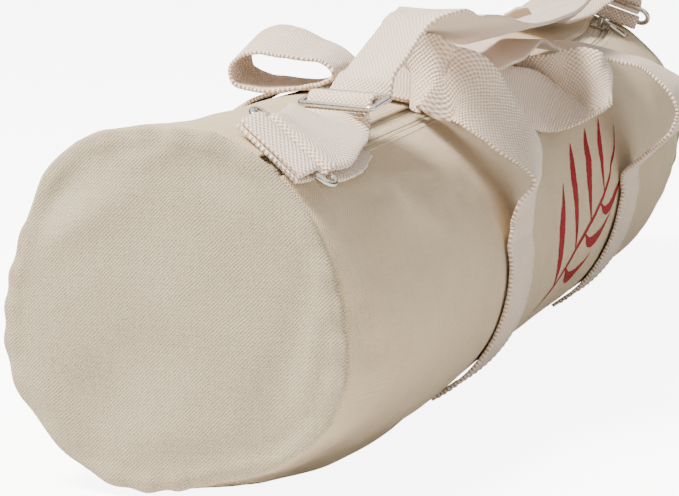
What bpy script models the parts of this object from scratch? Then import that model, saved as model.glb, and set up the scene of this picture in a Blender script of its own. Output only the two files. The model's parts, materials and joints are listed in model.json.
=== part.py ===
"""Yoga mat bag: a canvas tube with round end panels, a zip, two webbing handles and a shoulder strap.

Metres, Z up. X runs along the bag with the near end at -X, the zip side leans to -Y, the floor is Z 0.
"""
import math

import bmesh
import bpy
import numpy as np
from mathutils import Vector
from mathutils.bvhtree import BVHTree

OBJECT_NAME = "yoga_mat_bag"

# Main sizes
LENGTH = 0.612
DIAMETER = 0.165
RADIUS = DIAMETER / 2
GAP = 0.0003

# Canvas
CANVAS_THICK = 0.0014
PANEL_THICK = 0.0015
FLOOR_SINK = 0.0035
TUBE_STEPS_ALONG = 24
TUBE_STEPS_AROUND = 42
TUBE_STEP_CROWDING = 0.045
FRAME_STEP_ALONG = 0.004
FRAME_STEP_TURN = 2.0
NEAR_OUTLINE_FADE = 0.13

# Tube sections: share of length, width, height, lean to +Y in diameters, skew of the roundness
SECTION_COLUMNS = ("along", "width", "height", "lean", "skew")
SECTIONS = (
    (0.00, 0.965, 0.969, 0.042, 0.014),
    (0.07, 0.990, 0.956, -0.005, 0.034),
    (0.20, 1.006, 0.950, -0.037, 0.054),
    (0.40, 1.001, 0.951, -0.014, 0.023),
    (0.60, 0.997, 0.952, -0.006, 0.007),
    (0.80, 0.991, 0.955, -0.002, -0.005),
    (0.93, 0.981, 0.960, -0.002, -0.019),
    (1.00, 0.953, 0.978, 0.025, -0.076),
)

# Near end seam, slumped off round: degrees from the top towards -Y, share of the radius
NEAR_OUTLINE_COLUMNS = ("turn", "radius")
NEAR_OUTLINE = (
    (0, 1.013), (15, 1.035), (30, 1.018), (45, 0.994), (60, 0.984), (75, 0.972),
    (90, 0.992), (105, 1.036), (120, 1.046), (135, 0.998), (150, 0.940), (165, 0.905),
    (180, 0.912), (195, 0.954), (210, 1.010), (225, 1.010), (240, 1.026), (255, 1.002),
    (270, 0.968), (285, 0.950), (300, 0.960), (315, 1.028), (330, 1.066), (345, 1.040),
)

# Dents and swellings of the tube: place, reach along, reach around in degrees, rise in diameters
FOLD_COLUMNS = ("along", "turn", "reach_along", "reach_turn", "rise")
FOLDS = (
    (0.035, 152, 0.035, 20, 0.020),
    (0.030, 232, 0.025, 12, -0.030),
    (0.060, 62, 0.030, 22, -0.014),
    (0.115, 44, 0.035, 10, 0.010),
    (0.200, 112, 0.050, 26, -0.010),
    (0.330, 58, 0.050, 12, -0.008),
    (0.430, 96, 0.040, 18, 0.010),
    (0.560, 66, 0.040, 14, -0.008),
    (0.700, 110, 0.050, 18, -0.008),
    (0.850, 60, 0.050, 16, -0.010),
    (0.940, 96, 0.030, 20, -0.010),
    (0.300, 290, 0.070, 22, -0.012),
    (0.620, 268, 0.060, 20, -0.012),
    (0.880, 300, 0.050, 20, 0.008),
)

# End panels: ring shares from the middle out, crown outwards in diameters
PANEL_STEPS_AROUND = 36
PANEL_RIM_BACK = 0.0012
CROWN_COLUMNS = ("share", "crown")
CROWN = ((0.00, 0.026), (0.26, 0.026), (0.50, 0.023), (0.72, 0.018), (0.88, 0.010), (1.00, 0.000))
PANEL_DENT_COLUMNS = ("turn", "share", "reach_turn", "reach_share", "rise")
NEAR_DENTS = ((215, 0.78, 22, 0.25, -0.030), (60, 0.62, 40, 0.30, -0.016), (300, 0.55, 50, 0.30, 0.010))
FAR_DENTS = ((90, 0.55, 45, 0.30, -0.020), (250, 0.60, 40, 0.30, 0.012))

# Zip
ZIP_COLUMNS = ("along", "turn")
ZIP_PATH = (
    (0.00, 34.0), (0.10, 33.0), (0.16, 27.5), (0.22, 26.6), (0.40, 27.0),
    (0.60, 26.8), (0.84, 26.0), (0.93, 23.5), (1.00, 21.0),
)
SLOT_HALF = 0.0065
TAPE_OUTER = 0.0125
TAPE_INNER = 0.0025
TAPE_THICK = 0.0008
TAPE_LIFT = -CANVAS_THICK - 3 * GAP - TAPE_THICK
TEETH_HALF = 0.0020
TEETH_THICK = 0.0018
TEETH_LIFT = TAPE_LIFT - 0.0004
ZIP_START = 0.011
ZIP_END = 0.989
ZIP_STEPS = 32

# Zip slider and its pull
SLIDER_ALONG = 0.964
SLIDER_LONG = 0.0100
SLIDER_WIDE = 0.0088
SLIDER_PLATE = 0.0013
SLIDER_EDGE = 0.0004
SLIDER_SINK = 0.0005
SLIDER_PLATE_LIFT = TEETH_LIFT + TEETH_THICK + GAP
SLIDER_UNDER_LIFT = TEETH_LIFT - GAP - SLIDER_PLATE
WEDGE_HALF = 0.0015
WEDGE_LONG = 0.0022
CHEEK_LONG = 0.0014
CHEEK_WIDE = 0.0026
CHEEK_EDGE = 0.0003
CHEEK_OVER_PIN = 0.0007
HINGE_LIFT = 0.0042
PIN_RADIUS = 0.0008
EYE_CLEAR = 0.0004
EYE_WALL = 0.0009
PULL_LONG = 0.0190
PULL_WIDE = 0.0066
PULL_NECK = 0.0034
PULL_THICK = 0.0014
PULL_EDGE = 0.0004
PULL_NECK_SHARE = 0.45
PULL_BLADE_START = 0.36
PULL_SLOT_FROM_END = 0.0022
PULL_REST = -15.0
PULL_SLOT_LONG = 0.0060
PULL_SLOT_WIDE = 0.0026

# Webbing
WEB_WIDTH = 0.0380
WEB_THICK = 0.0020
SPLINE_STEP = 0.0004
WEB_LIFT = GAP + WEB_THICK / 2
WEB_SEAT = WEB_LIFT + 0.0007
WEB_REST_SPREAD = 8
WEB_STEP = 0.0068
WEB_BEND = 22.0

# Rings
RING_WIRE = 0.0015
RING_BARS_APART = 0.0110
RING_STRAIGHT = WEB_WIDTH + 0.0010
LOOP_RADIUS = RING_WIRE + GAP + WEB_THICK / 2 + 0.00005
RING_SIDES = 8
NEAR_RING_ALONG = 0.0370
NEAR_RING_TURN = 31.0
NEAR_RING_SKEW = 14.0
NEAR_RING_LIFT = 0.0052
NEAR_RING_PITCH = 0.0
FAR_RING_ALONG = 0.9880
FAR_RING_TURN = 23.0
FAR_RING_SKEW = 0.0
FAR_RING_LIFT = 0.0105
FAR_RING_PITCH = 58.0

# Shoulder strap slider
GLIDE_PLACE = (0.155, -0.236, 0.994)
GLIDE_TURN = 248.3
GLIDE_TILT = 0.6
GLIDE_CLIMB = 18.0
GLIDE_BARS_APART = 0.0070
GLIDE_ROOM = 0.0012
GLIDE_CORNER = 0.0022
GLIDE_SLOPE = 0.26
GLIDE_EASE = 0.76
GLIDE_OUT = 0.0030
GLIDE_OUT_DROP = 0.85
GLIDE_WIRE = 0.0013
GLIDE_REACH = GLIDE_WIRE + GAP + WEB_THICK / 2 + 0.00025

# Handle strips sewn to the tube
STRIP_NEAR = 0.3415
STRIP_FAR = 0.7320
STRIP_LOW_TURN = 148.0
STRIP_TOP_TURN = 84.0
STRIP_STEPS = 9

# Free webbing, a row per station: middle as shares of length, diameter and diameter,
# then the compass turn and the upward tilt of the width direction in degrees
WEB_COLUMNS = ("along", "across", "height", "turn", "tilt")

HANDLE_FRONT_ROWS = (
    (0.342, -0.539, 0.582, 1, 0), (0.340, -0.558, 0.648, 5, 0), (0.340, -0.588, 0.709, 12, 0),
    (0.338, -0.570, 0.770, 3, 10), (0.333, -0.515, 0.836, 354, 19), (0.328, -0.455, 0.903, 345, 29),
    (0.319, -0.376, 0.976, 331, 47), (0.310, -0.315, 0.979, 335, 62), (0.307, -0.267, 0.979, 27, 77),
    (0.314, -0.218, 0.991, 77, 69), (0.335, -0.200, 1.018, 87, 53), (0.369, -0.212, 1.018, 90, 37),
    (0.410, -0.236, 1.012, 90, 22), (0.459, -0.255, 1.006, 90, 12), (0.508, -0.261, 1.006, 90, 6),
    (0.557, -0.248, 1.018, 90, 0), (0.595, -0.236, 1.012, 84, 0), (0.627, -0.248, 0.988, 66, 0),
    (0.652, -0.291, 0.970, 41, 0), (0.670, -0.339, 0.964, 21, 2), (0.681, -0.376, 0.958, 10, 3),
    (0.688, -0.448, 0.945, 9, 1), (0.693, -0.515, 0.927, 9, 0), (0.698, -0.582, 0.909, 8, 0),
    (0.701, -0.642, 0.873, 6, 3), (0.704, -0.691, 0.830, 4, 7), (0.708, -0.715, 0.776, 0, 9),
    (0.712, -0.703, 0.721, 357, 9), (0.719, -0.661, 0.667, 355, 7), (0.725, -0.606, 0.618, 357, 5),
    (0.730, -0.558, 0.576, 359, 2),
)
HANDLE_BACK_ROWS = (
    (0.338, 0.460, 0.665, 180, -3), (0.332, 0.405, 0.770, 178, -4), (0.324, 0.325, 0.855, 176, -4),
    (0.316, 0.225, 0.920, 175, -3), (0.308, 0.125, 0.953, 176, -1), (0.303, 0.040, 0.971, 177, 0),
    (0.300, -0.020, 0.988, 179, 2), (0.298, -0.048, 1.022, 182, -1), (0.297, -0.012, 1.057, 184, -4),
    (0.295, 0.055, 1.075, 185, -10), (0.294, 0.120, 1.092, 185, -15), (0.293, 0.180, 1.100, 185, -15),
    (0.294, 0.238, 1.082, 185, -12), (0.296, 0.275, 1.038, 186, -10), (0.297, 0.270, 0.995, 188, -9),
    (0.299, 0.215, 0.970, 192, -6), (0.301, 0.135, 0.965, 197, -3), (0.306, 0.045, 0.958, 204, 0),
    (0.318, -0.042, 0.958, 212, -6), (0.338, -0.112, 0.952, 220, -13), (0.366, -0.176, 0.939, 226, -21),
    (0.405, -0.242, 0.915, 230, -31), (0.446, -0.297, 0.891, 229, -44), (0.480, -0.333, 0.879, 226, -50),
    (0.507, -0.364, 0.861, 218, -52), (0.529, -0.400, 0.848, 204, -46), (0.547, -0.455, 0.836, 198, -30),
    (0.559, -0.515, 0.836, 197, -16), (0.565, -0.570, 0.848, 196, -12), (0.565, -0.594, 0.879, 193, -21),
    (0.560, -0.558, 0.897, 187, -45), (0.560, -0.503, 0.897, 185, -71), (0.564, -0.442, 0.879, 329, -80),
    (0.572, -0.382, 0.885, 338, -57), (0.587, -0.297, 0.897, 334, -33), (0.608, -0.170, 0.945, 330, -13),
    (0.636, -0.018, 0.970, 330, -1), (0.665, 0.139, 0.952, 332, 7), (0.694, 0.285, 0.891, 338, 12),
    (0.716, 0.394, 0.788, 348, 11), (0.729, 0.467, 0.679, 357, 4),
)
STRAP_ROWS = (
    (0.177, -0.277, 1.053, 241, 7), (0.187, -0.300, 1.096, 237, 6), (0.199, -0.327, 1.150, 233, 4),
    (0.211, -0.354, 1.194, 229, 0), (0.232, -0.386, 1.214, 231, 2), (0.271, -0.388, 1.186, 243, 8),
    (0.320, -0.382, 1.152, 255, 15), (0.377, -0.376, 1.115, 263, 16), (0.443, -0.358, 1.085, 265, 16),
    (0.500, -0.339, 1.079, 266, 13), (0.557, -0.327, 1.079, 266, 12), (0.623, -0.309, 1.079, 266, 12),
    (0.688, -0.285, 1.085, 262, 15), (0.740, -0.265, 1.088, 262, 19), (0.771, -0.220, 1.083, 272, 12),
    (0.796, -0.160, 1.056, 274, 6), (0.822, -0.090, 1.022, 270, 2), (0.850, -0.045, 1.000, 268, -2),
    (0.877, -0.035, 0.995, 267, -5), (0.902, -0.050, 1.008, 268, -8), (0.923, -0.085, 1.040, 270, -12),
    (0.940, -0.132, 1.084, 271, -16), (0.956, -0.178, 1.114, 271, -18), (0.971, -0.208, 1.110, 270, -19),
)

# Strap from the near ring to its slider, lying over the tube: share of length, degrees, lift, bar skew
STRAP_LEAD_COLUMNS = ("along", "turn", "lift", "skew")
STRAP_LEAD = ((0.060, 31.0, 0.0083, 12.0), (0.085, 28.0, 0.0088, 6.0), (0.110, 25.5, 0.0102, 8.0))
STRAP_TAIL = ((0.062, 32.0, 0.0024, 15.0), (0.090, 31.0, 0.0026, 17.0), (0.125, 27.0, 0.0034, 20.0))

# Tabs: distances from the ring's middle to the seam and lifts of the two plies there
TAB_NEAR_LOW_REACH = 0.0165
TAB_NEAR_TOP_REACH = 0.0165
TAB_FAR_LOW_REACH = 0.0010
TAB_FAR_TOP_REACH = 0.0068
TAB_LOW_LIFT = 0.0014
TAB_TOP_LIFT = 0.0040


def remove_everything():
    """Empty the scene so that each run starts the same."""
    for thing in list(bpy.data.objects):
        bpy.data.objects.remove(thing, do_unlink=True)


def interpolate(table, column, share):
    """Value of a table column at a share of its first column."""
    first = [row[0] for row in table]
    values = [row[column] for row in table]
    return float(np.interp(share, first, values))


def smooth(value):
    """Ease from 0 to 1."""
    value = min(max(value, 0.0), 1.0)
    return value * value * (3 - 2 * value)


def smooth_table(table, column, share):
    """Value of a table column at a share, eased by a small moving average."""
    spread = (-0.03, -0.015, 0.0, 0.015, 0.03)
    return sum(interpolate(table, column, share + step) for step in spread) / len(spread)


def near_outline(turn):
    """Share of the radius of the near seam at a turn from the top."""
    turns = [row[0] for row in NEAR_OUTLINE]
    radii = [row[1] for row in NEAR_OUTLINE]
    return float(np.interp(turn % 360, turns, radii, period=360))


def settle(height):
    """Flatten the underside where the tube rests on the floor."""
    upper = 3 * FLOOR_SINK
    if height <= FLOOR_SINK:
        return 0.0
    if height >= upper:
        return height
    part = (height - FLOOR_SINK) / (upper - FLOOR_SINK)
    rise = (3 - 2 * part) * part * part * upper
    return rise + (part - 1) * part * part * (upper - FLOOR_SINK)


def turn_between(first, second):
    """Smallest turn from one angle to another in degrees."""
    return (first - second + 180) % 360 - 180


def tube_point(along, turn):
    """Point on the outside of the tube: share of length, degrees from the top towards -Y."""
    share = min(max(along, 0.0), 1.0)
    width = smooth_table(SECTIONS, 1, share)
    height = smooth_table(SECTIONS, 2, share)
    lean = smooth_table(SECTIONS, 3, share)
    skew = smooth_table(SECTIONS, 4, share)
    angle = -math.radians(turn)
    radius = 1 + skew * math.sin(2 * angle)
    fade = smooth(1 - share / NEAR_OUTLINE_FADE)
    radius += (near_outline(turn) - radius) * fade
    for place, fold_turn, reach, reach_turn, rise in FOLDS:
        far_along = (share - place) / reach
        far_turn = turn_between(turn, fold_turn) / reach_turn
        radius += 2 * rise * math.exp(-far_along * far_along - far_turn * far_turn)
    y = RADIUS * width * radius * math.sin(angle) + lean * DIAMETER
    z = RADIUS * height * (1 + radius * math.cos(angle))
    return np.array(((along - 0.5) * LENGTH, y, settle(z)))


def tube_frame(along, turn):
    """Point, direction along, direction around and outward normal of the tube."""
    step_along = FRAME_STEP_ALONG
    step_turn = FRAME_STEP_TURN
    point = tube_point(along, turn)
    forward = tube_point(along + step_along, turn) - tube_point(along - step_along, turn)
    around = tube_point(along, turn + step_turn) - tube_point(along, turn - step_turn)
    if along - step_along < 0 or along + step_along > 1:
        forward = np.array((1.0, 0.0, 0.0))
    normal = unit(np.cross(around, forward))
    around = unit(around)
    forward = unit(np.cross(normal, around))
    return point, forward, around, normal


def unit(vector):
    """Vector of length one."""
    return vector / np.linalg.norm(vector)


def lifted(along, turn, lift):
    """Point at a distance off the outside of the tube."""
    point, forward, around, normal = tube_frame(along, turn)
    return point + normal * lift


def zip_turn(along):
    """Turn of the zip's middle line."""
    return smooth_table(ZIP_PATH, 1, min(max(along, 0.03), 0.97))


def zip_side(along, sideways, lift):
    """Point beside the zip's middle line, sideways in metres towards -Y."""
    turn = zip_turn(along) + math.degrees(sideways / RADIUS)
    return lifted(along, turn, lift)


def material(name, colour, roughness, metallic):
    """Principled material of one sub-part."""
    made = bpy.data.materials.new(name)
    made.use_nodes = True
    shader = made.node_tree.nodes["Principled BSDF"]
    shader.inputs["Base Color"].default_value = (*colour, 1.0)
    shader.inputs["Roughness"].default_value = roughness
    shader.inputs["Metallic"].default_value = metallic
    return made


def turn_outwards(mesh):
    """Point all of a closed mesh's normals outwards."""
    work = bmesh.new()
    work.from_mesh(mesh)
    bmesh.ops.recalc_face_normals(work, faces=work.faces)
    work.to_mesh(mesh)
    work.free()


def add_mesh(name, points, faces, stuff, shade_smooth=False):
    """Object from points and faces, with normals outwards."""
    mesh = bpy.data.meshes.new(name)
    mesh.from_pydata([tuple(point) for point in points], [], faces)
    mesh.update()
    turn_outwards(mesh)
    if shade_smooth:
        mesh.polygons.foreach_set("use_smooth", [True] * len(mesh.polygons))
    thing = bpy.data.objects.new(name, mesh)
    mesh.materials.append(stuff)
    bpy.data.collections[OBJECT_NAME].objects.link(thing)
    return thing


def grid_faces(rows, columns, closed=False):
    """Quads of a grid of points, each row closed on itself if asked."""
    faces = []
    wrap = columns if closed else columns - 1
    for row in range(rows - 1):
        for column in range(wrap):
            across = (column + 1) % columns
            first = row * columns
            second = first + columns
            faces.append((first + column, first + across, second + across, second + column))
    return faces


def slab_faces(rows, columns):
    """Faces of two grids of points, the second behind the first, joined round their edge."""
    count = rows * columns
    top = grid_faces(rows, columns)
    faces = list(top)
    faces += [tuple(count + corner for corner in reversed(face)) for face in top]
    edge = [column for column in range(columns)]
    edge += [row * columns + columns - 1 for row in range(1, rows)]
    edge += [(rows - 1) * columns + column for column in range(columns - 2, -1, -1)]
    edge += [row * columns for row in range(rows - 2, 0, -1)]
    for here, there in zip(edge, edge[1:] + edge[:1]):
        faces.append((here, here + count, there + count, there))
    return faces


def build_tube(stuff):
    """Canvas tube, open at both ends and along the zip."""
    half_turn = math.degrees(SLOT_HALF / RADIUS)
    outside = []
    inside = []
    for step in range(TUBE_STEPS_ALONG + 1):
        share = step / TUBE_STEPS_ALONG
        along = share - TUBE_STEP_CROWDING * math.sin(2 * math.pi * share)
        start = zip_turn(along) + half_turn
        for spoke in range(TUBE_STEPS_AROUND + 1):
            turn = start + (360 - 2 * half_turn) * spoke / TUBE_STEPS_AROUND
            outside.append(lifted(along, turn, 0.0))
            inside.append(lifted(along, turn, -CANVAS_THICK))
    faces = slab_faces(TUBE_STEPS_ALONG + 1, TUBE_STEPS_AROUND + 1)
    return add_mesh("body_tube", outside + inside, faces, stuff, True)


def build_panel(name, along, outwards, dents, stuff):
    """Round end panel inside the tube's mouth, crowned and dented."""
    rim_lift = -CANVAS_THICK - 3 * GAP
    back = along - outwards * PANEL_RIM_BACK / LENGTH
    rim = [lifted(back, 360 * spoke / PANEL_STEPS_AROUND, rim_lift) for spoke in range(PANEL_STEPS_AROUND)]
    middle = sum(rim) / PANEL_STEPS_AROUND
    points = []
    for layer in (0, 1):
        for share, crown in reversed(CROWN[1:]):
            for spoke in range(PANEL_STEPS_AROUND):
                turn = 360 * spoke / PANEL_STEPS_AROUND
                point = middle + (rim[spoke] - middle) * share
                push = crown
                for dent_turn, dent_share, reach_turn, reach_share, rise in dents:
                    far_turn = turn_between(turn, dent_turn) / reach_turn
                    far_share = (share - dent_share) / reach_share
                    push += rise * (1 - share ** 6) * math.exp(-far_turn * far_turn - far_share * far_share)
                point[0] = rim[spoke][0] + outwards * (push * DIAMETER - layer * PANEL_THICK)
                points.append(point)
        centre = middle.copy()
        centre[0] += outwards * (CROWN[0][1] * DIAMETER - layer * PANEL_THICK)
        points.append(centre)
    rings = len(CROWN) - 1
    layer_count = rings * PANEL_STEPS_AROUND + 1
    faces = []
    for layer in (0, 1):
        base = layer * layer_count
        sheet = [tuple(base + corner for corner in face) for face in grid_faces(rings, PANEL_STEPS_AROUND, True)]
        last = base + (rings - 1) * PANEL_STEPS_AROUND
        for spoke in range(PANEL_STEPS_AROUND):
            sheet.append((last + spoke, last + (spoke + 1) % PANEL_STEPS_AROUND, base + layer_count - 1))
        faces += sheet if layer == 0 else [tuple(reversed(face)) for face in sheet]
    for spoke in range(PANEL_STEPS_AROUND):
        across = (spoke + 1) % PANEL_STEPS_AROUND
        faces.append((spoke, spoke + layer_count, across + layer_count, across))
    return add_mesh(name, points, faces, stuff, True)


def build_zip_strip(name, inner, outer, columns, thick, lift, end, stuff):
    """Strip of the zip between two sideways distances, following the tube."""
    top = []
    under = []
    for step in range(ZIP_STEPS + 1):
        along = ZIP_START + (end - ZIP_START) * step / ZIP_STEPS
        for column in range(columns + 1):
            sideways = inner + (outer - inner) * column / columns
            top.append(zip_side(along, sideways, lift + thick))
            under.append(zip_side(along, sideways, lift))
    faces = slab_faces(ZIP_STEPS + 1, columns + 1)
    return add_mesh(name, top + under, faces, stuff)


def place_mesh(thing, origin, axes):
    """Move an object's points from a local frame into the world."""
    for vertex in thing.data.vertices:
        local = vertex.co
        vertex.co = tuple(origin + axes[0] * local[0] + axes[1] * local[1] + axes[2] * local[2])
    turn_outwards(thing.data)


def box(name, low, high, stuff, bevel=0.0):
    """Box between two corners."""
    bpy.ops.mesh.primitive_cube_add(size=1)
    thing = bpy.context.object
    thing.name = name
    middle = [(a + b) / 2 for a, b in zip(low, high)]
    size = [b - a for a, b in zip(low, high)]
    for vertex in thing.data.vertices:
        vertex.co = tuple(middle[axis] + vertex.co[axis] * size[axis] for axis in range(3))
    if bevel > 0:
        soften = thing.modifiers.new("edge", "BEVEL")
        soften.width = bevel
        soften.segments = 1
        apply_modifiers(thing)
    return own(thing, stuff)


def cylinder(name, radius, low, high, sides, stuff):
    """Round bar along local X between two values."""
    bpy.ops.mesh.primitive_cylinder_add(vertices=sides, radius=radius, depth=high - low)
    thing = bpy.context.object
    thing.name = name
    for vertex in thing.data.vertices:
        x, y, z = vertex.co
        vertex.co = ((low + high) / 2 + z, y, -x)
    return own(thing, stuff)


def own(thing, stuff):
    """Give an object its material and put it in the object's collection."""
    thing.data.materials.clear()
    thing.data.materials.append(stuff)
    for group in list(thing.users_collection):
        group.objects.unlink(thing)
    bpy.data.collections[OBJECT_NAME].objects.link(thing)
    return thing


def apply_modifiers(thing):
    """Bake an object's modifiers into its mesh."""
    graph = bpy.context.evaluated_depsgraph_get()
    graph.update()
    mesh = bpy.data.meshes.new_from_object(thing.evaluated_get(graph))
    thing.modifiers.clear()
    old = thing.data
    thing.data = mesh
    bpy.data.meshes.remove(old)


def combine(thing, other, operation):
    """Exact Boolean of two objects, the second is removed."""
    joiner = thing.modifiers.new("join", "BOOLEAN")
    joiner.operation = operation
    joiner.solver = "EXACT"
    joiner.object = other
    apply_modifiers(thing)
    bpy.data.objects.remove(other, do_unlink=True)
    return thing


def slider_frame():
    """Origin on the tube at the zip slider and its axes: along, sideways to -Y, outwards."""
    point, forward, around, normal = tube_frame(SLIDER_ALONG, zip_turn(SLIDER_ALONG))
    return point, (forward, around, normal)


def build_zip_slider(stuff):
    """Slider: plates over and under the teeth, a wedge between the tapes, two cheeks and a pin."""
    half_long = SLIDER_LONG / 2
    half_wide = SLIDER_WIDE / 2
    top = SLIDER_PLATE_LIFT + SLIDER_PLATE
    under = SLIDER_UNDER_LIFT + SLIDER_PLATE
    body_low = (-half_long, -half_wide, SLIDER_PLATE_LIFT)
    body = box("zip_slider", body_low, (half_long, half_wide, top), stuff, SLIDER_EDGE)
    plate_low = (-half_long, -half_wide, SLIDER_UNDER_LIFT)
    plate = box("under_plate", plate_low, (half_long, half_wide, under), stuff, SLIDER_EDGE)
    wedge_low = (half_long - WEDGE_LONG - SLIDER_SINK, -WEDGE_HALF, under - SLIDER_SINK)
    wedge_high = (half_long - SLIDER_SINK, WEDGE_HALF, SLIDER_PLATE_LIFT + SLIDER_SINK)
    wedge = box("wedge", wedge_low, wedge_high, stuff)
    combine(body, plate, "UNION")
    combine(body, wedge, "UNION")
    gap_half = PULL_NECK / 2 + GAP
    for side in (-1, 1):
        near = side * gap_half
        far = side * (gap_half + CHEEK_LONG)
        low = (min(near, far), -CHEEK_WIDE / 2, top - SLIDER_SINK)
        high = (max(near, far), CHEEK_WIDE / 2, HINGE_LIFT + PIN_RADIUS + CHEEK_OVER_PIN)
        combine(body, box("cheek", low, high, stuff, CHEEK_EDGE), "UNION")
    reach = gap_half + CHEEK_LONG - SLIDER_SINK
    pin = cylinder("pin", PIN_RADIUS, -reach, reach, 16, stuff)
    for vertex in pin.data.vertices:
        vertex.co[2] += HINGE_LIFT
    combine(body, pin, "UNION")
    origin, axes = slider_frame()
    place_mesh(body, origin, axes)
    return body


def build_zip_pull(stuff):
    """Pull tab with an eye round the slider's pin and a slot near its free end."""
    eye_inner = PIN_RADIUS + EYE_CLEAR
    eye_outer = eye_inner + EYE_WALL
    half_neck = PULL_NECK / 2
    pull = cylinder("zip_pull", eye_outer, -half_neck, half_neck, 20, stuff)
    neck_low = (-half_neck, eye_inner * 0.5, -PULL_THICK / 2)
    neck = box("neck", neck_low, (half_neck, PULL_LONG * PULL_NECK_SHARE, PULL_THICK / 2), stuff)
    combine(pull, neck, "UNION")
    blade_low = (-PULL_WIDE / 2, PULL_LONG * PULL_BLADE_START, -PULL_THICK / 2)
    blade = box("blade", blade_low, (PULL_WIDE / 2, PULL_LONG, PULL_THICK / 2), stuff, PULL_EDGE)
    combine(pull, blade, "UNION")
    hole = cylinder("eye", eye_inner, -half_neck - 0.001, half_neck + 0.001, 20, stuff)
    combine(pull, hole, "DIFFERENCE")
    slot_end = PULL_LONG - PULL_SLOT_FROM_END
    slot_low = (-PULL_SLOT_WIDE / 2, slot_end - PULL_SLOT_LONG, -PULL_THICK)
    slot = box("slot", slot_low, (PULL_SLOT_WIDE / 2, slot_end, PULL_THICK), stuff)
    combine(pull, slot, "DIFFERENCE")
    origin, axes = slider_frame()
    hinge = origin + axes[2] * HINGE_LIFT
    lean = math.radians(PULL_REST)
    blade_way = axes[1] * math.cos(lean) + axes[2] * math.sin(lean)
    blade_face = np.cross(axes[0], blade_way)
    place_mesh(pull, np.zeros(3), (axes[0], blade_way, blade_face))
    pull.location = tuple(hinge)
    return pull


def ring_frame(along, turn, skew, lift, pitch):
    """Middle of a ring and its axes: along its bars to -Y, from its outer to its inner bar, and its face."""
    point, forward, around, normal = tube_frame(along, turn)
    inboard = forward if along < 0.5 else -forward
    angle = math.radians(skew)
    bars = around * math.cos(angle) - inboard * math.sin(angle)
    over = inboard * math.cos(angle) + around * math.sin(angle)
    rise = math.radians(pitch)
    across = over * math.cos(rise) + normal * math.sin(rise)
    face = unit(np.cross(bars, across))
    if np.dot(face, normal) < 0:
        face = -face
    return point + normal * lift, (bars, across, face)


def oval_path(straight, apart):
    """Closed path of an oval of two straight bars and round ends."""
    path = []
    radius = apart / 2
    for side in (1, -1):
        for step in range(9):
            angle = math.pi / 2 - math.pi * step / 8
            x = side * (straight / 2 + radius * math.cos(angle))
            path.append((x, side * radius * math.sin(angle), 0.0))
    return path


def wire_loop(name, path, wire, sides, origin, axes, stuff):
    """Closed round wire along a path given in a local frame."""
    curve = bpy.data.curves.new(name, "CURVE")
    curve.dimensions = "3D"
    curve.bevel_depth = wire
    curve.bevel_resolution = max(0, sides // 4 - 1)
    spline = curve.splines.new("POLY")
    spline.points.add(len(path) - 1)
    for number, local in enumerate(path):
        point = origin + axes[0] * local[0] + axes[1] * local[1] + axes[2] * local[2]
        spline.points[number].co = (*point, 1.0)
    spline.use_cyclic_u = True
    return bake_curve(name, curve, stuff)


def wire_bar(name, start, end, wire, sides, stuff):
    """Straight round wire with closed ends."""
    curve = bpy.data.curves.new(name, "CURVE")
    curve.dimensions = "3D"
    curve.bevel_depth = wire
    curve.bevel_resolution = max(0, sides // 4 - 1)
    curve.use_fill_caps = True
    spline = curve.splines.new("POLY")
    spline.points.add(1)
    spline.points[0].co = (*start, 1.0)
    spline.points[1].co = (*end, 1.0)
    return bake_curve(name, curve, stuff)


def bake_curve(name, curve, stuff):
    """Turn a curve into a mesh object of its own."""
    drawn = bpy.data.objects.new(name + "_path", curve)
    bpy.context.scene.collection.objects.link(drawn)
    graph = bpy.context.evaluated_depsgraph_get()
    graph.update()
    mesh = bpy.data.meshes.new_from_object(drawn.evaluated_get(graph))
    work = bmesh.new()
    work.from_mesh(mesh)
    bmesh.ops.remove_doubles(work, verts=work.verts, dist=0.00001)
    bmesh.ops.recalc_face_normals(work, faces=work.faces)
    work.to_mesh(mesh)
    work.free()
    mesh.polygons.foreach_set("use_smooth", [True] * len(mesh.polygons))
    mesh.materials.clear()
    mesh.materials.append(stuff)
    mesh.name = name
    bpy.data.objects.remove(drawn, do_unlink=True)
    thing = bpy.data.objects.new(name, mesh)
    bpy.data.collections[OBJECT_NAME].objects.link(thing)
    return thing


def near_ring():
    """Frame of the near ring."""
    return ring_frame(NEAR_RING_ALONG, NEAR_RING_TURN, NEAR_RING_SKEW, NEAR_RING_LIFT, NEAR_RING_PITCH)


def far_ring():
    """Frame of the far ring."""
    return ring_frame(FAR_RING_ALONG, FAR_RING_TURN, FAR_RING_SKEW, FAR_RING_LIFT, FAR_RING_PITCH)


def build_ring(name, frame, stuff):
    """Oval ring of round wire."""
    origin, axes = frame
    return wire_loop(name, oval_path(RING_STRAIGHT, RING_BARS_APART), RING_WIRE, RING_SIDES, origin, axes, stuff)


def glide_frame():
    """Middle of the strap slider and its axes: along its bars, along the strap's run, outwards."""
    along, across, height = GLIDE_PLACE
    origin = np.array(((along - 0.5) * LENGTH, across * DIAMETER, height * DIAMETER))
    bars = direction(GLIDE_TURN, GLIDE_TILT)
    level = unit(np.cross(np.array((0.0, 0.0, 1.0)), bars))
    level = level if level[0] > 0 else -level
    upright = unit(np.cross(level, bars))
    upright = upright if upright[2] > 0 else -upright
    climb = math.radians(GLIDE_CLIMB)
    run = level * math.cos(climb) + upright * math.sin(climb)
    out = upright * math.cos(climb) - level * math.sin(climb)
    return origin, (bars, run, out)


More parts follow.
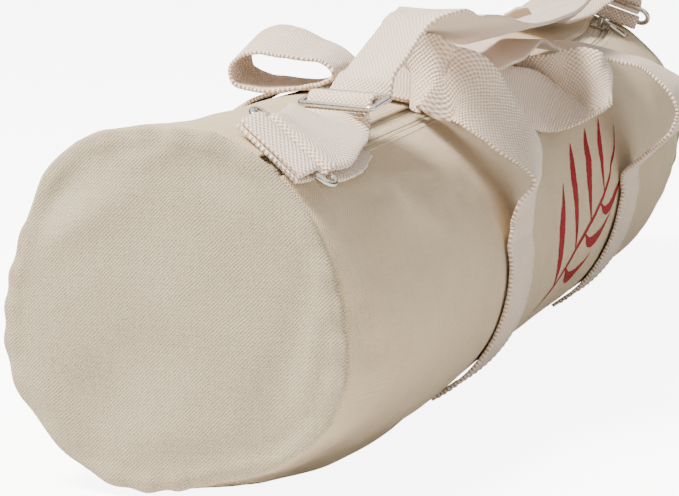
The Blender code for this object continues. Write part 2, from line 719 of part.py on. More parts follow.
def build_strap_slider(stuff):
    """Wire frame with a middle bar that the strap weaves over."""
    origin, axes = glide_frame()
    half = WEB_WIDTH / 2 + GLIDE_ROOM
    corner = GLIDE_CORNER
    path = []
    for x_side, y_side in ((1, 1), (1, -1), (-1, -1), (-1, 1)):
        for step in range(4):
            angle = math.pi / 2 * step / 3
            swing = math.sin(angle) if x_side == y_side else math.cos(angle)
            rise = math.cos(angle) if x_side == y_side else math.sin(angle)
            x = x_side * (half + corner * (swing - 1) + GLIDE_WIRE)
            y = y_side * (GLIDE_BARS_APART + corner * (rise - 1))
            path.append((x, y, 0.0))
    frame = wire_loop("strap_slider", path, GLIDE_WIRE, RING_SIDES, origin, axes, stuff)
    end = axes[0] * (half + GLIDE_WIRE)
    bar = wire_bar("middle_bar", origin - end, origin + end, GLIDE_WIRE * 0.98, RING_SIDES, stuff)
    combine(frame, bar, "UNION")
    return frame


def direction(turn, tilt):
    """Unit vector from a compass turn and an upward tilt in degrees."""
    level = math.cos(math.radians(tilt))
    angle = math.radians(turn)
    return np.array((level * math.cos(angle), level * math.sin(angle), math.sin(math.radians(tilt))))


def free_stations(rows):
    """Middle points and width directions of a table of free webbing."""
    stations = []
    for along, across, height, turn, tilt in rows:
        middle = np.array(((along - 0.5) * LENGTH, across * DIAMETER, height * DIAMETER))
        stations.append((middle, direction(turn, tilt)))
    return stations


def strip_stations(along, side, facing):
    """Sewn strip of a handle, from low on the tube's side up to where it comes free, wide along X."""
    stations = []
    for step in range(STRIP_STEPS):
        turn = STRIP_LOW_TURN + (STRIP_TOP_TURN - STRIP_LOW_TURN) * step / (STRIP_STEPS - 1)
        stations.append((lifted(along, side * turn, WEB_LIFT), np.array((float(facing), 0.0, 0.0))))
    return stations


def framed(frame, places):
    """Stations at run and rise in a ring's or slider's frame, wide along its bars."""
    origin, (bars, run, out) = frame
    return [(origin + run * along + out * rise, bars) for along, rise in places]


def loop_places(centre, sense, radius):
    """Half turn of webbing round a bar: from below, round its outer side, to above."""
    places = []
    for step in range(7):
        angle = -math.pi / 2 + math.pi * step / 6
        places.append((centre + sense * radius * math.cos(angle), radius * math.sin(angle)))
    return places


def on_tube(rows):
    """Stations of webbing lying over the tube."""
    stations = []
    for along, turn, lift, skew in rows:
        point, forward, around, normal = tube_frame(along, turn)
        angle = math.radians(skew)
        stations.append((point + normal * lift, around * math.cos(angle) - forward * math.sin(angle)))
    return stations


def glide_weave():
    """Strap's run under, over and under the slider's three bars."""
    places = []
    apart = GLIDE_BARS_APART
    reach = GLIDE_REACH
    slope = GLIDE_SLOPE * apart
    ease = GLIDE_EASE * reach
    places += [(-apart - GLIDE_OUT, -reach * GLIDE_OUT_DROP), (-apart, -reach), (-apart + slope, -ease)]
    places += [(-apart / 2, 0.0), (-slope, ease), (0.0, reach), (slope, ease)]
    places += [(apart / 2, 0.0), (apart - slope, -ease), (apart, -reach), (apart + GLIDE_OUT, -reach * GLIDE_OUT_DROP)]
    return places


def strap_stations():
    """Whole run of the shoulder strap, from its short inner ply to its far end."""
    half = RING_BARS_APART / 2
    stations = list(reversed(on_tube(STRAP_TAIL)))
    stations += framed(near_ring(), loop_places(half, -1, LOOP_RADIUS))
    stations += on_tube(STRAP_LEAD)
    stations += framed(glide_frame(), glide_weave())
    stations += free_stations(STRAP_ROWS)
    stations += far_loop()
    return stations


def far_loop():
    """Strap's end round the far ring's inner bar."""
    half = RING_BARS_APART / 2
    places = list(reversed(loop_places(half, -1, LOOP_RADIUS)))
    return framed(far_ring(), places)


def tab_stations(frame, along, turn, low_reach, top_reach):
    """Tab from the end seam, round the ring's outer bar and back over itself."""
    sense = 1 if along < 0.5 else -1
    middle, (bars, run, out) = frame
    plies = []
    for reach, lift in ((low_reach, TAB_LOW_LIFT), (top_reach, TAB_TOP_LIFT)):
        point, forward, around, normal = tube_frame(along - sense * reach / LENGTH, turn)
        place = point + normal * lift
        plies.append((place - bars * np.dot(place - middle, bars), bars))
    loop = framed(frame, loop_places(-RING_BARS_APART / 2, 1, LOOP_RADIUS))
    return [plies[0]] + loop + [plies[1]]


def spline(stations):
    """Smooth run through stations, sampled finely: middle points and width directions."""
    rows = np.array([np.concatenate(station) for station in stations])
    steps = np.linalg.norm(np.diff(rows[:, :3], axis=0), axis=1)
    knots = np.concatenate(((0.0,), np.cumsum(steps)))
    slopes = np.empty_like(rows)
    slopes[0] = (rows[1] - rows[0]) / steps[0]
    slopes[-1] = (rows[-1] - rows[-2]) / steps[-1]
    for number in range(1, len(rows) - 1):
        before = (rows[number] - rows[number - 1]) / steps[number - 1]
        after = (rows[number + 1] - rows[number]) / steps[number]
        share = steps[number - 1] / (steps[number - 1] + steps[number])
        slopes[number] = before * (1 - share) + after * share
    run = []
    for number in range(len(rows) - 1):
        step = steps[number]
        count = max(2, int(step / SPLINE_STEP))
        for sample in range(count):
            t = sample / count
            a = (2 * t ** 3 - 3 * t ** 2 + 1) * rows[number]
            b = (t ** 3 - 2 * t ** 2 + t) * step * slopes[number]
            c = (3 * t ** 2 - 2 * t ** 3) * rows[number + 1]
            d = (t ** 3 - t ** 2) * step * slopes[number + 1]
            run.append(a + b + c + d)
    run.append(rows[-1])
    return np.array(run)


def height_off_tube(point):
    """Distance of a point off the outside of the tube, and the way outwards."""
    along = min(max(point[0] / LENGTH + 0.5, 0.0), 1.0)
    core = np.array((point[0], smooth_table(SECTIONS, 3, along) * DIAMETER, RADIUS))
    spoke = point - core
    turn = math.degrees(math.atan2(-spoke[1], spoke[2]))
    skin = tube_point(along, turn)
    spoke = unit(spoke)
    return float(np.dot(point - skin, spoke)), spoke


def height_off_mesh(point, tree):
    """Distance of a point off the tube's own faces, negative behind them."""
    place, normal, index, distance = tree.find_nearest(Vector(point))
    return (Vector(point) - place).dot(normal)


def rest_on_tube(run, tube):
    """Lift fine stations of webbing that sink into the tube or touch it."""
    tree = BVHTree.FromPolygons([v.co for v in tube.data.vertices], [p.vertices for p in tube.data.polygons])
    widths = unit_rows(run[:, 3:])
    pushes = np.zeros(len(run))
    ways = np.zeros((len(run), 3))
    for number in range(len(run)):
        need = 0.0
        for side in (-0.5, -0.25, 0.0, 0.25, 0.5):
            point = run[number, :3] + widths[number] * WEB_WIDTH * side
            height, outwards = height_off_tube(point)
            if height < 2 * WEB_SEAT:
                height = min(height, max(height_off_mesh(point, tree), -WEB_SEAT))
            need = max(need, WEB_SEAT - height)
            ways[number] += outwards
        pushes[number] = need
    spread = WEB_REST_SPREAD
    widest = [pushes[max(0, number - 2 * spread):number + 2 * spread + 1].max() for number in range(len(run))]
    for number in range(len(run)):
        window = widest[max(0, number - spread):number + spread + 1]
        run[number, :3] += unit(ways[number]) * sum(window) / len(window)
    return run


def unit_rows(rows):
    """Rows of length one."""
    return rows / np.linalg.norm(rows, axis=1)[:, None]


def square_widths(run):
    """Turn the width directions square to the run, and give the run's ways as well."""
    ways = unit_rows(np.gradient(run[:, :3], axis=0))
    widths = run[:, 3:] - ways * np.sum(run[:, 3:] * ways, axis=1)[:, None]
    run[:, 3:] = unit_rows(widths)
    return run, ways


def build_webbing(name, stations, stuff, tube=None):
    """Flat webbing along its stations, sampled closer where it bends."""
    run, ways = square_widths(spline(stations))
    if tube:
        run, ways = square_widths(rest_on_tube(run, tube))
    middles = run[:, :3]
    widths = run[:, 3:]
    picks = [0]
    travelled = 0.0
    for number in range(1, len(run)):
        travelled += np.linalg.norm(middles[number] - middles[number - 1])
        last = picks[-1]
        bend = max(angle_between(ways[number], ways[last]), angle_between(widths[number], widths[last]))
        if travelled >= WEB_STEP or bend >= WEB_BEND:
            picks.append(number)
            travelled = 0.0
    if len(run) - 1 - picks[-1] < 3 and len(picks) > 1:
        picks.pop()
    picks.append(len(run) - 1)
    points = []
    for number in picks:
        face = np.cross(ways[number], widths[number]) * WEB_THICK / 2
        side = widths[number] * WEB_WIDTH / 2
        middle = middles[number]
        points += [middle - side - face, middle + side - face, middle + side + face, middle - side + face]
    faces = grid_faces(len(picks), 4, True)
    last = 4 * (len(picks) - 1)
    faces += [(3, 2, 1, 0), (last, last + 1, last + 2, last + 3)]
    return add_mesh(name, points, faces, stuff)


def angle_between(first, second):
    """Angle between two unit vectors in degrees."""
    return math.degrees(math.acos(min(1.0, max(-1.0, float(np.dot(first, second))))))


def main():
    """Build every sub-part."""
    remove_everything()
    group = bpy.data.collections.new(OBJECT_NAME)
    bpy.context.scene.collection.children.link(group)
    canvas = material("tube_canvas", (0.68, 0.60, 0.49), 0.9, 0.0)
    panel = material("end_canvas", (0.52, 0.48, 0.38), 0.9, 0.0)
    webbing = material("cotton_webbing", (0.83, 0.75, 0.67), 0.9, 0.0)
    tape = material("zip_tape", (0.60, 0.53, 0.40), 0.85, 0.0)
    coil = material("zip_coil", (0.62, 0.56, 0.42), 0.5, 0.0)
    steel = material("nickel_plated_steel", (0.60, 0.59, 0.57), 0.25, 1.0)
    tube = build_tube(canvas)
    build_panel("end_near", 0.0, -1, NEAR_DENTS, panel)
    build_panel("end_far", 1.0, 1, FAR_DENTS, panel)
    build_zip_strip("zip_tape_front", TAPE_INNER, TAPE_OUTER, 3, TAPE_THICK, TAPE_LIFT, ZIP_END, tape)
    build_zip_strip("zip_tape_back", -TAPE_OUTER, -TAPE_INNER, 3, TAPE_THICK, TAPE_LIFT, ZIP_END, tape)
    build_zip_strip("zip_teeth", -TEETH_HALF, TEETH_HALF, 2, TEETH_THICK, TEETH_LIFT, SLIDER_ALONG, coil)
    build_zip_slider(steel)
    build_zip_pull(steel)
    build_ring("ring_near", near_ring(), steel)
    build_ring("ring_far", far_ring(), steel)
    near_place = (NEAR_RING_ALONG, NEAR_RING_TURN, TAB_NEAR_LOW_REACH, TAB_NEAR_TOP_REACH)
    build_webbing("tab_near", tab_stations(near_ring(), *near_place), webbing)
    far_place = (FAR_RING_ALONG, FAR_RING_TURN, TAB_FAR_LOW_REACH, TAB_FAR_TOP_REACH)
    build_webbing("tab_far", tab_stations(far_ring(), *far_place), webbing)
    build_strap_slider(steel)
    build_webbing("shoulder_strap", strap_stations(), webbing)
    for name, rows, side in (("handle_front", HANDLE_FRONT_ROWS, 1), ("handle_back", HANDLE_BACK_ROWS, -1)):
        stations = strip_stations(STRIP_NEAR, side, side)
        stations += free_stations(rows)
        stations += list(reversed(strip_stations(STRIP_FAR, side, 1)))
        build_webbing(name, stations, webbing, tube)


main()
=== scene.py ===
"""Canvas yoga mat bag, dressed over its CAD frame: cloth, webbing, zip, hardware, stitches and studio.

Metres, Z up. X runs along the bag, the zip side leans to -Y, the floor is Z 0.
"""
import json
import math

import bmesh
import bpy
import numpy as np
from mathutils import Matrix, Vector
from mathutils.bvhtree import BVHTree

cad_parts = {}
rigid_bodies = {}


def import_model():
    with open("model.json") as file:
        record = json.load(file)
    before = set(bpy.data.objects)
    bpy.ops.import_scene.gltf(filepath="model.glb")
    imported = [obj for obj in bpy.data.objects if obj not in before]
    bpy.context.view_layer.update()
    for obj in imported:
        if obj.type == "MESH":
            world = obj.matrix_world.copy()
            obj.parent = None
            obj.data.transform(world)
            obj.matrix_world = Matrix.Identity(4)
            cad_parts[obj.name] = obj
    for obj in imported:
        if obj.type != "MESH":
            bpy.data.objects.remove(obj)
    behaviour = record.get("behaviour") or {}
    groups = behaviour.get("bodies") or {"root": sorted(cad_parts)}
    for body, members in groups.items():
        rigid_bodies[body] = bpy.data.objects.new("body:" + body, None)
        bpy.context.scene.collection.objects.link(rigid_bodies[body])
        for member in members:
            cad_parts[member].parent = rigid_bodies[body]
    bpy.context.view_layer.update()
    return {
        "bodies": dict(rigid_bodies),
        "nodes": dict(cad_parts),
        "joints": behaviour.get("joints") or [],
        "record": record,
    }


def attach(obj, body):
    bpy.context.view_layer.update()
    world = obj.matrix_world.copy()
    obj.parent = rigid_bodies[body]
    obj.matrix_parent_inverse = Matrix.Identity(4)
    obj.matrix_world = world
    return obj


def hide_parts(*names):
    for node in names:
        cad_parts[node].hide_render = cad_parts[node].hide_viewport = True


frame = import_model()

bl_info = {
    "name": "Canvas yoga mat bag",
    "version": (1, 0, 0),
    "blender": (4, 5, 0),
    "location": "View3D > Sidebar > Mat bag",
    "description": "Dresses the frame of a canvas yoga mat bag with cloth, webbing, zip, hardware and stitches",
    "category": "Object",
}

# Sizes shared with the solids
LENGTH = 0.612
DIAMETER = 0.165
RADIUS = DIAMETER / 2
GAP = 0.0003
CANVAS_THICK = 0.0014
FLOOR_SINK = 0.0035
NEAR_OUTLINE_FADE = 0.13

SECTIONS = (
    (0.00, 0.965, 0.969, 0.042, 0.014),
    (0.07, 0.990, 0.956, -0.005, 0.034),
    (0.20, 1.006, 0.950, -0.037, 0.054),
    (0.40, 1.001, 0.951, -0.014, 0.023),
    (0.60, 0.997, 0.952, -0.006, 0.007),
    (0.80, 0.991, 0.955, -0.002, -0.005),
    (0.93, 0.981, 0.960, -0.002, -0.019),
    (1.00, 0.953, 0.978, 0.025, -0.076),
)
NEAR_OUTLINE = (
    (0, 1.013), (15, 1.035), (30, 1.018), (45, 0.994), (60, 0.984), (75, 0.972),
    (90, 0.992), (105, 1.036), (120, 1.046), (135, 0.998), (150, 0.940), (165, 0.905),
    (180, 0.912), (195, 0.954), (210, 1.010), (225, 1.010), (240, 1.026), (255, 1.002),
    (270, 0.968), (285, 0.950), (300, 0.960), (315, 1.028), (330, 1.066), (345, 1.040),
)
FOLDS = (
    (0.035, 152, 0.035, 20, 0.020),
    (0.030, 232, 0.025, 12, -0.030),
    (0.060, 62, 0.030, 22, -0.014),
    (0.115, 44, 0.035, 10, 0.010),
    (0.200, 112, 0.050, 26, -0.010),
    (0.330, 58, 0.050, 12, -0.008),
    (0.430, 96, 0.040, 18, 0.010),
    (0.560, 66, 0.040, 14, -0.008),
    (0.700, 110, 0.050, 18, -0.008),
    (0.850, 60, 0.050, 16, -0.010),
    (0.940, 96, 0.030, 20, -0.010),
    (0.300, 290, 0.070, 22, -0.012),
    (0.620, 268, 0.060, 20, -0.012),
    (0.880, 300, 0.050, 20, 0.008),
)
PANEL_RIM_BACK = 0.0012
CROWN = ((0.00, 0.026), (0.26, 0.026), (0.50, 0.023), (0.72, 0.018), (0.88, 0.010), (1.00, 0.000))
NEAR_DENTS = ((215, 0.78, 22, 0.25, -0.030), (60, 0.62, 40, 0.30, -0.016), (300, 0.55, 50, 0.30, 0.010))
FAR_DENTS = ((90, 0.55, 45, 0.30, -0.020), (250, 0.60, 40, 0.30, 0.012))

ZIP_PATH = (
    (0.00, 34.0), (0.10, 33.0), (0.16, 27.5), (0.22, 26.6), (0.40, 27.0),
    (0.60, 26.8), (0.84, 26.0), (0.93, 23.5), (1.00, 21.0),
)
SLOT_HALF = 0.0065
TAPE_OUTER = 0.0125
TAPE_INNER = 0.0025
TAPE_THICK = 0.0008
TAPE_LIFT = -CANVAS_THICK - 3 * GAP - TAPE_THICK
TEETH_THICK = 0.0018
TEETH_LIFT = TAPE_LIFT - 0.0004
TAPE_ENDS = 0.0035
SLIDER_ALONG = 0.964

WEB_WIDTH = 0.0380
WEB_THICK = 0.0020
SPLINE_STEP = 0.0004
WEB_LIFT = GAP + WEB_THICK / 2
WEB_SEAT = WEB_LIFT + 0.0007
WEB_REST_SPREAD = 8

RING_WIRE = 0.0015
RING_BARS_APART = 0.0110
RING_STRAIGHT = WEB_WIDTH + 0.0010
LOOP_RADIUS = RING_WIRE + GAP + WEB_THICK / 2 + 0.00005
NEAR_RING = (0.0370, 31.0, 14.0, 0.0052, 0.0)
FAR_RING = (0.9880, 23.0, 0.0, 0.0105, 58.0)

GLIDE_PLACE = (0.155, -0.236, 0.994)
GLIDE_TURN = 248.3
GLIDE_TILT = 0.6
GLIDE_CLIMB = 18.0
GLIDE_BARS_APART = 0.0070
GLIDE_ROOM = 0.0012
GLIDE_CORNER = 0.0022
GLIDE_SLOPE = 0.26
GLIDE_EASE = 0.76
GLIDE_OUT = 0.0030
GLIDE_OUT_DROP = 0.85
GLIDE_WIRE = 0.0013
GLIDE_REACH = GLIDE_WIRE + GAP + WEB_THICK / 2 + 0.00025

STRIP_NEAR = 0.3415
STRIP_FAR = 0.7320
STRIP_LOW_TURN = 148.0
STRIP_TOP_TURN = 84.0
STRIP_STEPS = 9

HANDLE_FRONT_ROWS = (
    (0.342, -0.539, 0.582, 1, 0), (0.340, -0.558, 0.648, 5, 0), (0.340, -0.588, 0.709, 12, 0),
    (0.338, -0.570, 0.770, 3, 10), (0.333, -0.515, 0.836, 354, 19), (0.328, -0.455, 0.903, 345, 29),
    (0.319, -0.376, 0.976, 331, 47), (0.310, -0.315, 0.979, 335, 62), (0.307, -0.267, 0.979, 27, 77),
    (0.314, -0.218, 0.991, 77, 69), (0.335, -0.200, 1.018, 87, 53), (0.369, -0.212, 1.018, 90, 37),
    (0.410, -0.236, 1.012, 90, 22), (0.459, -0.255, 1.006, 90, 12), (0.508, -0.261, 1.006, 90, 6),
    (0.557, -0.248, 1.018, 90, 0), (0.595, -0.236, 1.012, 84, 0), (0.627, -0.248, 0.988, 66, 0),
    (0.652, -0.291, 0.970, 41, 0), (0.670, -0.339, 0.964, 21, 2), (0.681, -0.376, 0.958, 10, 3),
    (0.688, -0.448, 0.945, 9, 1), (0.693, -0.515, 0.927, 9, 0), (0.698, -0.582, 0.909, 8, 0),
    (0.701, -0.642, 0.873, 6, 3), (0.704, -0.691, 0.830, 4, 7), (0.708, -0.715, 0.776, 0, 9),
    (0.712, -0.703, 0.721, 357, 9), (0.719, -0.661, 0.667, 355, 7), (0.725, -0.606, 0.618, 357, 5),
    (0.730, -0.558, 0.576, 359, 2),
)
HANDLE_BACK_ROWS = (
    (0.338, 0.460, 0.665, 180, -3), (0.332, 0.405, 0.770, 178, -4), (0.324, 0.325, 0.855, 176, -4),
    (0.316, 0.225, 0.920, 175, -3), (0.308, 0.125, 0.953, 176, -1), (0.303, 0.040, 0.971, 177, 0),
    (0.300, -0.020, 0.988, 179, 2), (0.298, -0.048, 1.022, 182, -1), (0.297, -0.012, 1.057, 184, -4),
    (0.295, 0.055, 1.075, 185, -10), (0.294, 0.120, 1.092, 185, -15), (0.293, 0.180, 1.100, 185, -15),
    (0.294, 0.238, 1.082, 185, -12), (0.296, 0.275, 1.038, 186, -10), (0.297, 0.270, 0.995, 188, -9),
    (0.299, 0.215, 0.970, 192, -6), (0.301, 0.135, 0.965, 197, -3), (0.306, 0.045, 0.958, 204, 0),
    (0.318, -0.042, 0.958, 212, -6), (0.338, -0.112, 0.952, 220, -13), (0.366, -0.176, 0.939, 226, -21),
    (0.405, -0.242, 0.915, 230, -31), (0.446, -0.297, 0.891, 229, -44), (0.480, -0.333, 0.879, 226, -50),
    (0.507, -0.364, 0.861, 218, -52), (0.529, -0.400, 0.848, 204, -46), (0.547, -0.455, 0.836, 198, -30),
    (0.559, -0.515, 0.836, 197, -16), (0.565, -0.570, 0.848, 196, -12), (0.565, -0.594, 0.879, 193, -21),
    (0.560, -0.558, 0.897, 187, -45), (0.560, -0.503, 0.897, 185, -71), (0.564, -0.442, 0.879, 329, -80),
    (0.572, -0.382, 0.885, 338, -57), (0.587, -0.297, 0.897, 334, -33), (0.608, -0.170, 0.945, 330, -13),
    (0.636, -0.018, 0.970, 330, -1), (0.665, 0.139, 0.952, 332, 7), (0.694, 0.285, 0.891, 338, 12),
    (0.716, 0.394, 0.788, 348, 11), (0.729, 0.467, 0.679, 357, 4),
)
STRAP_ROWS = (
    (0.177, -0.277, 1.053, 241, 7), (0.187, -0.300, 1.096, 237, 6), (0.199, -0.327, 1.150, 233, 4),
    (0.211, -0.354, 1.194, 229, 0), (0.232, -0.386, 1.214, 231, 2), (0.271, -0.388, 1.186, 243, 8),
    (0.320, -0.382, 1.152, 255, 15), (0.377, -0.376, 1.115, 263, 16), (0.443, -0.358, 1.085, 265, 16),
    (0.500, -0.339, 1.079, 266, 13), (0.557, -0.327, 1.079, 266, 12), (0.623, -0.309, 1.079, 266, 12),
    (0.688, -0.285, 1.085, 262, 15), (0.740, -0.265, 1.088, 262, 19), (0.771, -0.220, 1.083, 272, 12),
    (0.796, -0.160, 1.056, 274, 6), (0.822, -0.090, 1.022, 270, 2), (0.850, -0.045, 1.000, 268, -2),
    (0.877, -0.035, 0.995, 267, -5), (0.902, -0.050, 1.008, 268, -8), (0.923, -0.085, 1.040, 270, -12),
    (0.940, -0.132, 1.084, 271, -16), (0.956, -0.178, 1.114, 271, -18), (0.971, -0.208, 1.110, 270, -19),
)
STRAP_LEAD = ((0.060, 31.0, 0.0083, 12.0), (0.085, 28.0, 0.0088, 6.0), (0.110, 25.5, 0.0102, 8.0))
STRAP_TAIL = ((0.062, 32.0, 0.0024, 15.0), (0.090, 31.0, 0.0026, 17.0), (0.125, 27.0, 0.0034, 20.0))
TAB_NEAR_REACHES = (0.0165, 0.0165)
TAB_FAR_REACHES = (0.0010, 0.0068)
TAB_LOW_LIFT = 0.0014
TAB_TOP_LIFT = 0.0040

PANEL_SINK = 0.0023
ROW_CROWDING = 0.045
COIL_WIRE = 0.00042
ZIP_SEAM_AWAY = 0.0022
HANDLE_SEAM = 0.0166
CAMERA_PLACE = (-1.338, -0.442, 0.302)
CAMERA_YAW = 19.78
CAMERA_PITCH = 9.72

# Turned edge of the tube at an end seam, from the crease out: distance from the mouth, rise off the tube
SEAM_TURN = ((0.0019, -0.0030), (0.0030, -0.0016), (0.0042, -0.0006), (0.0060, -0.0001), (0.0080, 0.0))

# Puffed edge of an end panel, from the crease out: drop below the tube's outside, reach beyond the mouth
PANEL_LIP = (
    (0.0032, -0.0024), (0.0014, -0.0024), (0.0004, -0.0019), (0.0000, -0.0010),
    (0.0002, 0.0000), (0.0009, 0.0008), (0.0019, 0.0012),
)

# Folds of the end panels: sideways and up from the middle in radii, lean, length and width in radii, rise in metres
FOLD_PARTS = ("side", "up", "lean", "long", "wide", "rise")
NEAR_FOLDS = (
    (0.23, 0.76, -10, 0.22, 0.11, -0.0022), (-0.05, 0.84, 20, 0.16, 0.06, 0.0016),
    (-0.50, 0.45, 32, 0.36, 0.10, 0.0022), (-0.62, 0.60, 38, 0.28, 0.10, -0.0020),
    (-0.22, -0.29, 20, 0.42, 0.20, -0.0026), (0.16, -0.02, -35, 0.50, 0.16, 0.0020),
    (0.66, -0.17, 72, 0.50, 0.12, -0.0022), (0.82, 0.02, 82, 0.48, 0.07, 0.0016),
    (-0.80, -0.60, -52, 0.17, 0.06, -0.0060), (-0.68, -0.50, -48, 0.24, 0.08, 0.0030),
    (-0.52, -0.80, -20, 0.20, 0.06, -0.0026), (0.30, -0.80, 12, 0.34, 0.07, 0.0018),
    (0.62, -0.66, 40, 0.26, 0.07, -0.0020), (0.52, 0.52, -42, 0.26, 0.08, 0.0018),
    (0.00, -0.62, 6, 0.34, 0.10, 0.0014),
)
FAR_FOLDS = (
    (0.20, 0.70, 10, 0.26, 0.10, -0.0020), (-0.40, 0.40, -30, 0.36, 0.12, 0.0018),
    (0.30, -0.20, 50, 0.46, 0.16, -0.0020), (-0.20, -0.60, 12, 0.40, 0.12, 0.0018),
    (0.70, 0.10, 80, 0.40, 0.09, 0.0016), (-0.70, -0.30, 60, 0.30, 0.09, -0.0020),
)

# Fine creases of the tube that only the cloth has: place, reach along, reach around, lean of the crease, rise in metres
CREASE_COLUMNS = ("along", "turn", "reach_along", "reach_turn", "lean", "rise")
CREASES = (
    (0.020, 78, 0.030, 4.0, 20, 0.0009), (0.030, 100, 0.040, 5.0, -30, -0.0010),
    (0.025, 125, 0.035, 4.0, -20, 0.0010), (0.045, 140, 0.050, 4.5, -40, -0.0009),
    (0.018, 62, 0.022, 3.5, 10, -0.0008), (0.120, 52, 0.040, 3.0, 60, -0.0007),
    (0.200, 47, 0.060, 2.6, 40, 0.0007), (0.250, 62, 0.050, 3.6, -60, -0.0007),
    (0.300, 78, 0.012, 14.0, 0, -0.0009), (0.380, 80, 0.012, 12.0, 0, -0.0008),
    (0.420, 52, 0.050, 4.0, 80, 0.0006), (0.520, 58, 0.060, 4.0, -50, -0.0007),
    (0.610, 72, 0.050, 5.0, 60, 0.0007), (0.690, 80, 0.012, 14.0, 0, -0.0009),
    (0.770, 82, 0.012, 12.0, 0, -0.0008), (0.860, 42, 0.040, 4.0, 30, 0.0007),
    (0.930, 70, 0.040, 4.0, 20, -0.0008), (0.960, 108, 0.030, 5.0, -20, 0.0009),
    (0.975, 50, 0.022, 4.0, 0, 0.0008), (0.100, 118, 0.050, 6.0, 40, -0.0009),
)


def table_at(table, column, share):
    """Values of a table column at shares, eased by a small moving average."""
    first = [row[0] for row in table]
    values = [row[column] for row in table]
    spread = (-0.03, -0.015, 0.0, 0.015, 0.03)
    return sum(np.interp(share + step, first, values) for step in spread) / len(spread)


def ease(value):
    """Ease from 0 to 1."""
    value = np.clip(value, 0.0, 1.0)
    return value * value * (3 - 2 * value)


def settle(height):
    """Flatten the underside where the tube rests on the floor."""
    upper = 3 * FLOOR_SINK
    part = np.clip((height - FLOOR_SINK) / (upper - FLOOR_SINK), 0.0, 1.0)
    rise = (3 - 2 * part) * part * part * upper + (part - 1) * part * part * (upper - FLOOR_SINK)
    return np.where(height >= upper, height, rise)


def turn_between(first, second):
    """Smallest turn from one angle to another in degrees."""
    return (first - second + 180) % 360 - 180


def tube_point(along, turn):
    """Points on the outside of the tube: shares of length, degrees from the top towards -Y."""
    along, turn = np.broadcast_arrays(np.asarray(along, float), np.asarray(turn, float))
    share = np.clip(along, 0.0, 1.0)
    width = table_at(SECTIONS, 1, share)
    height = table_at(SECTIONS, 2, share)
    lean = table_at(SECTIONS, 3, share)
    skew = table_at(SECTIONS, 4, share)
    angle = -np.radians(turn)
    radius = 1 + skew * np.sin(2 * angle)
    fade = ease(1 - share / NEAR_OUTLINE_FADE)
    outline = np.interp(turn % 360, [row[0] for row in NEAR_OUTLINE], [row[1] for row in NEAR_OUTLINE], period=360)
    radius = radius + (outline - radius) * fade
    for place, fold_turn, reach, reach_turn, rise in FOLDS:
        far_along = (share - place) / reach
        far_turn = turn_between(turn, fold_turn) / reach_turn
        radius = radius + 2 * rise * np.exp(-far_along * far_along - far_turn * far_turn)
    y = RADIUS * width * radius * np.sin(angle) + lean * DIAMETER
    z = RADIUS * height * (1 + radius * np.cos(angle))
    return np.stack(((along - 0.5) * LENGTH, y, settle(z)), axis=-1)


def unit(vectors):
    """Vectors of length one."""
    return vectors / np.linalg.norm(vectors, axis=-1, keepdims=True)


def tube_frame(along, turn):
    """Points, directions along, directions around and outward normals of the tube."""
    along, turn = np.broadcast_arrays(np.asarray(along, float), np.asarray(turn, float))
    step_along = 0.004
    step_turn = 2.0
    point = tube_point(along, turn)
    forward = tube_point(along + step_along, turn) - tube_point(along - step_along, turn)
    around = tube_point(along, turn + step_turn) - tube_point(along, turn - step_turn)
    edge = (along - step_along < 0) | (along + step_along > 1)
    forward = np.where(edge[..., None], np.array((1.0, 0.0, 0.0)), forward)
    normal = unit(np.cross(around, forward))
    around = unit(around)
    forward = unit(np.cross(normal, around))
    return point, forward, around, normal


def lifted(along, turn, lift):
    """Points at a distance off the outside of the tube."""
    point, forward, around, normal = tube_frame(along, turn)
    return point + normal * np.asarray(lift)[..., None]


def zip_turn(along):
    """Turn of the zip's middle line."""
    return table_at(ZIP_PATH, 1, np.clip(along, 0.03, 0.97))


def creases(along, turn):
    """Small rise and fall of the cloth: sewn-in puckers, pulled creases and a slow waviness."""
    along, turn = np.broadcast_arrays(np.asarray(along, float), np.asarray(turn, float))
    rise = np.zeros(along.shape)
    for place, crease_turn, reach, reach_turn, lean, height in CREASES:
        far_along = (along - place) / reach
        far_turn = (turn_between(turn, crease_turn) - lean * (along - place)) / reach_turn
        rise += height * np.exp(-far_along * far_along - far_turn * far_turn)
    low = turn % 360
    for seam, reach in ((0.0, 0.030), (1.0, 0.026)):
        near = np.exp(-((along - seam) / reach) ** 2)
        rise += near * 0.00034 * np.sin(np.radians(low * 21) + 2.4 * np.sin(np.radians(low * 4)))
    rise += 0.00022 * np.sin(along * 61 + 2 * np.sin(np.radians(low) * 3)) * np.sin(np.radians(low * 5) + along * 17)
    rise += 0.00012 * np.sin(along * 143 + np.radians(low * 7)) * np.sin(np.radians(low * 13) - along * 38)
    for place in (STRIP_NEAR, STRIP_FAR):
        rise *= 1 - 0.85 * np.exp(-((along - place) / 0.036) ** 4)
    settled = tube_point(along, turn)[..., 2]
    return rise * ease(settled / 0.02)


def skin(along, turn, lift=0.0):
    """Points of the cloth's outside, creases and all, at a distance off it."""
    point, forward, around, normal = tube_frame(along, turn)
    return point + normal * (creases(along, turn) + lift)[..., None]


def linear(value):
    """Linear colour of an sRGB hex value."""
    parts = [int(value[place:place + 2], 16) / 255 for place in (1, 3, 5)]
    return [part / 12.92 if part <= 0.04045 else ((part + 0.055) / 1.055) ** 2.4 for part in parts]


def tint(value):
    """Four-part linear colour of an sRGB hex value."""
    return (*linear(value), 1.0)


def add_node(tree, kind, settings=None, links=None):
    """One shader node with its settings and links, inputs by name or place."""
    made = tree.nodes.new(kind)
    for name, value in (settings or {}).items():
        if isinstance(name, int) or name in made.inputs.keys():
            made.inputs[name].default_value = value
        else:
            setattr(made, name, value)
    for name, source in (links or {}).items():
        tree.links.new(source, made.inputs[name])
    return made


